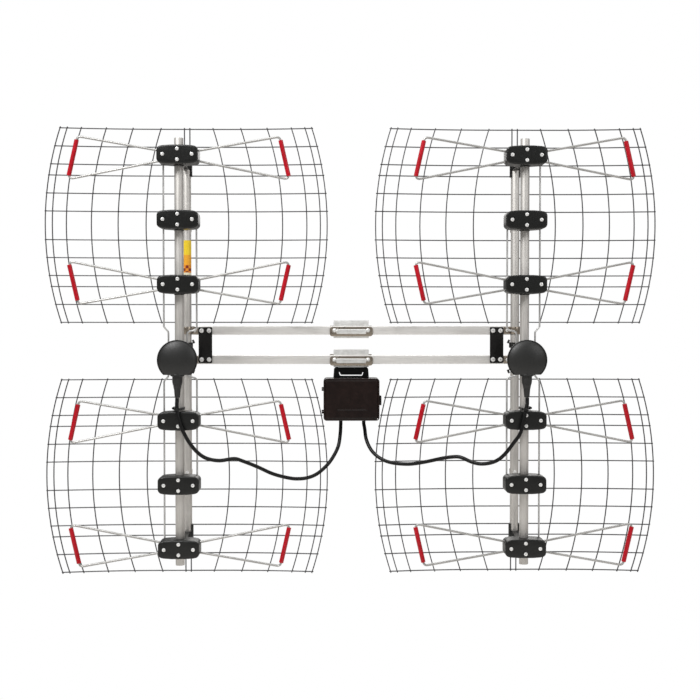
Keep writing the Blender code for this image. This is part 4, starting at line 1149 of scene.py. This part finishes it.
# %% Bolts and wing nuts in place
BOLT_X, NUT_Y = 0.031, 0.0125
for level, height in RAILS:
    spots = [(side * BOLT_X, PLATE_BACK, height) for side in (-1, 1)]
    bolts = joined(f"clamp_bolts_{level}", [copied(bolt, "bolt", spot) for spot in spots])
    dressed(bolts, PALE_ZINC_AND_BEAD_HIGHLIGHT, "boom", "zinc_steel")
    spots = [(side * BOLT_X, NUT_Y, height) for side in (-1, 1)]
    nuts = joined(f"wing_nuts_{level}", [copied(nut, "nut", spot) for spot in spots])
    dressed(nuts, PALE_ZINC_AND_BEAD_HIGHLIGHT, f"{level}_jaw", "zinc_steel")
removed(bolt, nut)
print("the bolts are", round(2000 * BOLT_X), "mm apart")

# %% [markdown]
# ## Swivel straps
#
# A strap holds each rear tube against each rail, and a screw goes through each of its ears. Its bend
# has to clear the tube, so it too is a copy of its CAD solid, and only the screws are new.

# %% Straps and their screws
for side_name, side in SIDES:
    for level, height in RAILS:
        node = f"swivel_strap_{side_name}_{level}"
        strap = softened(node, 0.0004)
        dressed(strap, ZINC, "boom", "zinc_steel", node)
    spots = [(side * (PANEL_X + x), REAR_TUBE_Y + 0.0050, height) for _, height in RAILS
             for x in (-0.0128, 0.0112)]
    heads = [copied(BLOCK_SCREW, "screw", spot) for spot in spots]
    dressed(joined(f"strap_screws_{side_name}", heads), SCREW, "boom", "zinc_steel")
print("strap faces", len(strap.data.polygons))

# %% [markdown]
# ## Combiner
#
# The combiner joins the two panels' signals. Its case is a tray whose lid swings open, and it hangs
# from the lower saddle on a steel plate. Inside are a circuit board and the connectors that take
# the cables. A closed block would pass while the lid is shut, but not when it opens, so both halves
# are real shells: a box that loses one face, gets rounded corners, and then gets its wall.

# %% A shell
CASE_MIDDLE, CASE_X, CASE_Z = -0.089, 0.103, 0.078


def shell(name, back, front, open_side):
    """A rounded tray whose open side is 1 behind or -1 in front."""
    tray = slab(name, (0, (back + front) / 2, CASE_MIDDLE), (CASE_X, back - front, CASE_Z))
    pick(tray, "FACE", lambda centre, normal: normal.y * open_side > ALONG)
    bpy.ops.mesh.delete(type="FACE")
    closed()
    return cornered(tray, 0.006, 6)


tray = shell("tray", -0.028, -0.0659, -1)
pick(tray, "FACE", lambda centre, normal: normal.y > ALONG)
bpy.ops.mesh.bevel(offset=0.0015, segments=3, affect="EDGES")
closed()
applied(tray, "SOLIDIFY", thickness=0.0022, offset=-1)
smoothed(tray, 40)
print("tray faces", len(tray.data.polygons))

# %% Hinge knuckles
HINGE_X, HINGE_Y, KNUCKLE_RADIUS, TAB_HEIGHT = -0.0534, -0.066, 0.0016, 0.007


def knuckles(low_share, high_share, arm_y):
    """Hinge knuckles on both tabs, with arms to the case's side."""
    made = []
    for tab in (-0.070, -0.112):
        low, high = (tab + (share - 0.5) * TAB_HEIGHT for share in (low_share, high_share))
        barrel = turned_bar("knuckle", (HINGE_X, HINGE_Y, low), KNUCKLE_RADIUS, high - low, "Z", 24)
        arm = slab("arm", (HINGE_X + 0.0012, arm_y, (low + high) / 2), (0.0024, 0.0015, high - low))
        made += [soft_edges(barrel, 0.0003), soft_edges(arm, 0.0002)]
    return made


base_knuckles = knuckles(0, 0.47, -0.0652)
print("knuckle pieces on the tray", len(base_knuckles))

# %% Posts, collars and the finished tray
CABLE_EXITS = (-0.0195, 0.0235)
POST_SPOTS = [(x, z) for x in (-0.042, 0.042) for z in (-0.030, 0.030)]
posts = [turned_bar("post", (x, -0.0304, CASE_MIDDLE + z), 0.0028, 0.006, "Y", 20) for x, z in POST_SPOTS]
collar_line = [(0.0034, -0.0029), (0.0044, -0.0029), (0.0050, -0.0024), (0.0052, -0.0018),
               (0.0052, 0.0018), (0.0034, 0.0018), (0.0034, -0.0029)]
collars = [spun("collar", collar_line, (x, -0.0375, -0.128), "Z", 32) for x in CABLE_EXITS]
base = joined("combiner_tray", [tray, *posts, *collars, *base_knuckles])
dressed(base, CASE, "boom", "case_plastic", "combiner_base")
print("finished tray faces", len(base.data.polygons))

# %% Hanger plate
HANGER_Y, HANGER_WIDTH, HANGER_FOOT = -0.0305, 0.064, 0.067
hanger = slab("hanger", (0, HANGER_Y, -0.0416), (HANGER_WIDTH, 0.0025, 0.021))
pick(hanger, "VERT", lambda co, normal: co.z < -0.045)
bpy.ops.transform.resize(value=(HANGER_FOOT / HANGER_WIDTH, 1, 1), center_override=(0, 0, 0))
closed()
pick(hanger, "EDGE", lambda centre, way: abs(way.y) > ALONG and centre.z > -0.04)
bpy.ops.mesh.bevel(offset=0.004, segments=4, affect="EDGES")
closed()
soft_edges(hanger, 0.0004)
print("hanger faces before its slot", len(hanger.data.polygons))

# %% The hanger's slot and lugs
cutters = [slab("slot", (0, HANGER_Y, -0.0462), (0.040, 0.010, 0.0017))]
for side in (-1, 1):
    end = slab("slot", (0, 0, 0), (0.0016, 0.010, 0.0062))
    end.rotation_euler = (0, side * math.radians(20), 0)
    end.location = (side * 0.0212, HANGER_Y, -0.0435)
    cutters.append(settled(end))
for cutter in cutters:
    applied(hanger, "BOOLEAN", object=cutter, operation="DIFFERENCE", solver="EXACT")
removed(*cutters)
smoothed(hanger)
lugs = [soft_edges(slab("lug", (x, -0.0211, -0.0324), (0.005, 0.018, 0.0025)), 0.0004)
        for x in (-0.0274, 0.0274)]
hanger = joined("combiner_hanger", [hanger, *lugs])
dressed(hanger, BLACK_STEEL, "boom", "black_steel")
print("finished hanger faces", len(hanger.data.polygons))

# %% Circuit board
BOARD_SIZE = (0.092, 0.0016, 0.067)
board = slab("board", (0, -0.0370, CASE_MIDDLE), BOARD_SIZE)
soft_edges(board, 0.0003)
dressed(board, BOARD, "boom", "circuit_board")
print("board faces", len(board.data.polygons))

# %% Connectors and shielding cans
CONNECTOR_Y, CONNECTOR_Z = -0.0440, -0.1250
parts = []
for x, length in ((-0.0195, 0.0130), (0.0235, 0.0130), (0.0020, 0.0110)):
    nut_body = turned_bar("nut", (x, CONNECTOR_Y, CONNECTOR_Z), 0.0048, 0.0030, "Z", 6)
    barrel = spun("barrel", [(0, 0), (0.0036, 0), (0.0036, 0.004), (0.0042, 0.0044),
                             (0.0042, length), (0.0038, length + 0.0006), (0, length + 0.0006)],
                  (x, CONNECTOR_Y, CONNECTOR_Z), "Z", 28)
    parts += [soft_edges(nut_body, 0.0003), barrel]
for side in (-1, 1):
    can = slab("can", (side * 0.028, -0.0415, -0.084), (0.016, 0.0075, 0.013))
    parts.append(soft_edges(can, 0.0008))
connectors = joined("combiner_connectors", parts)
dressed(connectors, PLATED, "boom", "brass_plated")
print("connector faces", len(connectors.data.polygons))

# %% Chokes and chips
small = []
for x, z in ((-0.008, -0.076), (0.008, -0.076), (0, -0.092)):
    ring = spun("choke", [(0.0018, 0.0014), (0.0038, 0.0014), (0.0042, 0), (0.0038, -0.0014),
                          (0.0018, -0.0014), (0.0014, 0), (0.0018, 0.0014)], (x, -0.0395, z), "Y", 32)
    small.append(ring)
for x, z in ((-0.014, -0.102), (0.012, -0.102), (-0.004, -0.065), (0.016, -0.064)):
    small.append(soft_edges(slab("chip", (x, -0.0388, z), (0.0042, 0.0022, 0.0028)), 0.0004))
dressed(joined("combiner_components", small), BLACK, "boom", "black_plastic")
print("components", len(small))

# %% Lid
LID_STEPS = ((0.0015, 0), (0.0004, -0.0004), (0.0004, 0), (0.0005, 0.0007), (0.0005, 0.0004), (0.0008, 0))
lid = shell("lid", -0.0661, -0.0786, 1)
pick(lid, "FACE", lambda centre, normal: normal.y < -ALONG)
bpy.ops.mesh.bevel(offset=0.0015, segments=4, affect="EDGES")
closed()
pick(lid, "FACE", lambda centre, normal: normal.y < -0.99)
for width, depth in LID_STEPS:
    bpy.ops.mesh.inset(thickness=width, depth=depth)
closed()
applied(lid, "SOLIDIFY", thickness=0.0021, offset=-1)
smoothed(lid, 40)
print("plain lid faces", len(lid.data.polygons))

# %% Latch, rib and pip
rib = soft_edges(slab("rib", (0.001, -0.0793, -0.108), (0.054, 0.0016, 0.0024)), 0.0007, 3)
pip = spun("pip", [(0, 0.0006), (0.0007, 0.0005), (0.0010, 0), (0, -0.0003)],
           (0.0478, -0.0786, -0.1245), "Y", 16)
dressed(pip, SCREW, "combiner_lid", "zinc_steel")
root = soft_edges(slab("root", (0.0515, -0.0690, -0.091), (0.0024, 0.0048, 0.0160)), 0.0004)
latch = slab("latch", (0.0537, -0.065, -0.091), (0.0033, 0.0138, 0.0178))
pick(latch, "EDGE", lambda centre, way: abs(way.y) > ALONG and centre.x > 0.0537)
bpy.ops.mesh.bevel(offset=0.0012, segments=3, affect="EDGES")
closed()
soft_edges(latch, 0.0004)
ridges = [soft_edges(slab("ridge", (0.0550, -0.0695 + i * 0.0016, -0.091), (0.0008, 0.0007, 0.0130)), 0.0002)
          for i in range(3)]
lid = joined("lid_cover", [lid, rib, root, latch, *ridges, *knuckles(0.53, 1, -0.0668)])
dressed(lid, CASE, "combiner_lid", "case_plastic", "combiner_lid")
print("lid faces", len(lid.data.polygons))

# %% [markdown]
# ## Cable ties, label and small fixings
#
# A tie holds each cable against its front tube. A ring round both would stand off between them, so
# the band follows the outline that a tight tie takes: the outermost points of two circles. The
# reflectors are screwed to the rear tubes with small clips. One rear tube carries a plain coloured
# label, a thin band wrapped half round it, whose colours come from its height.

# %% The outline of a tight band
def hull_ring(points):
    """The outermost of these points, seen from above, in order round them."""
    points = sorted(points, key=lambda point: (point.x, point.y))

    def half(row):
        line = []
        for point in row:
            while len(line) > 1 and (line[-1] - line[-2]).cross(point - line[-1]).z <= 0:
                line.pop()
            line.append(point)
        return line[:-1]

    return half(points) + half(points[::-1])


def circle(middle, radius, step):
    """Points round a middle, one for each step in degrees."""
    return [middle + radius * Vector((math.cos(a), math.sin(a), 0))
            for a in (math.radians(step * i) for i in range(360 // step))]


print("points on a ring with steps of 10 degrees:", len(circle(Vector((0, 0, 0)), 1, 10)))

# %% Cable ties
TIE_Z, BAND_HEIGHT, BAND_THICKNESS = -0.1002, 0.0044, 0.0011
ROUND_TUBE, ROUND_CABLE = 0.0084, 0.0040
for side_name, side in SIDES:
    route = [Vector(point) for point in ROUTES[side_name]]
    held = min(route, key=lambda point: abs(point.z - TIE_Z))
    middle = Vector((side * PANEL_X, FRONT_TUBE_Y, TIE_Z))
    cable_at = Vector((held.x, held.y, TIE_Z))
    outline = hull_ring(circle(middle, ROUND_TUBE, 10) + circle(cable_at, ROUND_CABLE, 15))
    tie = drawn(f"cable_tie_{side_name}", [*outline, outline[0]])
    raised_band(tie, BAND_HEIGHT)
    applied(tie, "SOLIDIFY", thickness=BAND_THICKNESS, offset=1)
    soft_edges(tie, 0.0003)
    head = slab("head", middle + Vector((side * 0.0092, -0.0010, 0.0022)), (0.0040, 0.0056, 0.0058))
    stub = slab("stub", middle + Vector((side * 0.0112, -0.0033, 0.0022)), (0.0040, 0.0012, 0.0036))
    tie = joined(tie.name, [tie, soft_edges(head, 0.0008), soft_edges(stub, 0.0003)])
    dressed(tie, BLACK, f"{side_name}_panel", "black_plastic")
print("tie faces", len(tie.data.polygons))

# %% Coloured bands
def stepped(ramp, steps):
    """Set a colour ramp to plain bands, each from its position up."""
    ramp.interpolation = "CONSTANT"
    first, second = ramp.elements
    first.position, first.color = steps[0][0], (*steps[0][1], 1)
    second.position, second.color = steps[1][0], (*steps[1][1], 1)
    for position, colour in steps[2:]:
        ramp.elements.new(position).color = (*colour, 1)


def banded(material, low, high, bands, squares):
    """Bands of colour up the piece between two heights, and dark squares on one of the bands."""
    tree = material.node_tree
    link = tree.links.new
    shader = tree.nodes["Principled BSDF"]
    place = added(tree, "TexCoord").outputs["Object"]
    split = added(tree, "SeparateXYZ")
    link(place, split.inputs["Vector"])
    share = added(tree, "MapRange", From_Min=low, From_Max=high)
    link(split.outputs["Z"], share.inputs["Value"])
    ramp = added(tree, "ValToRGB")
    stepped(ramp.color_ramp, bands)
    link(share.outputs["Result"], ramp.inputs["Fac"])

    flat = added(tree, "Mapping", Scale=(1, 0, 1))
    link(place, flat.inputs["Vector"])
    checks = added(tree, "TexChecker", Scale=190)
    link(flat.outputs["Vector"], checks.inputs["Vector"])
    gate = added(tree, "ValToRGB")
    stepped(gate.color_ramp, ((0, (0, 0, 0)), (squares[0], (1, 1, 1)), (squares[1], (0, 0, 0))))
    link(share.outputs["Result"], gate.inputs["Fac"])
    mix = added(tree, "Mix")
    mix.data_type = "RGBA"
    mix.inputs["B"].default_value = (0.22, 0.02, 0.01, 1)
    link(combined(tree, "MULTIPLY", gate.outputs["Color"], checks.outputs["Fac"]), mix.inputs["Factor"])
    link(ramp.outputs["Color"], mix.inputs["A"])
    link(mix.outputs["Result"], shader.inputs["Base Color"])


LABEL_LOW, LABEL_HIGH = 0.137, 0.204
LABEL_BANDS = ((0, (0.78, 0.74, 0.55)), (0.11, (0.86, 0.30, 0.02)), (0.33, (0.90, 0.42, 0.03)),
               (0.60, (0.92, 0.66, 0.03)))
banded(LABEL, LABEL_LOW, LABEL_HIGH, LABEL_BANDS, (0.12, 0.31))
print("label bands", len(LABEL_BANDS))

# %% Label
LABEL_RADIUS = 0.0081
wrap = [(-PANEL_X + LABEL_RADIUS * math.cos(a), REAR_TUBE_Y + LABEL_RADIUS * math.sin(a), LABEL_LOW)
        for a in (math.radians(190 + 8 * i) for i in range(21))]
label = raised_band(drawn("tube_label", wrap), LABEL_HIGH - LABEL_LOW)
outwards = sum(face.normal.y for face in label.data.polygons)
applied(label, "SOLIDIFY", thickness=0.00015, offset=1 if outwards < 0 else -1)
dressed(smoothed(label, 60), LABEL, "left_panel", "label")
print("label faces", len(label.data.polygons))

# %% Screws and clips that hold the reflectors
FIXING_HEIGHTS = (-0.225, -0.113, 0.113, 0.225)
for side_name, side in SIDES:
    heads, clips = [], []
    for height in FIXING_HEIGHTS:
        heads.append(copied(BLOCK_SCREW, "screw", (side * PANEL_X, REAR_TUBE_Y - 0.0076, height)))
        clip = slab("clip", (side * PANEL_X, REFLECTOR_Y + 0.0021, height), (0.0145, 0.0014, 0.011))
        clips.append(soft_edges(cornered(clip, 0.002, 4), 0.0004))
        nut = turned_bar("nut", (side * PANEL_X, REFLECTOR_Y + 0.0052, height), 0.0040, 0.0030, "Y", 6)
        clips.append(soft_edges(nut, 0.0003))
    dressed(joined(f"reflector_screws_{side_name}", heads), SCREW, f"{side_name}_panel", "zinc_steel")
    clips = joined(f"reflector_clips_{side_name}", clips)
    dressed(clips, ZINC, f"{side_name}_panel", "zinc_steel")
removed(BLOCK_SCREW, PLATE_SCREW)
print("clip faces", len(clips.data.polygons))

# %% Finish
print("finished")
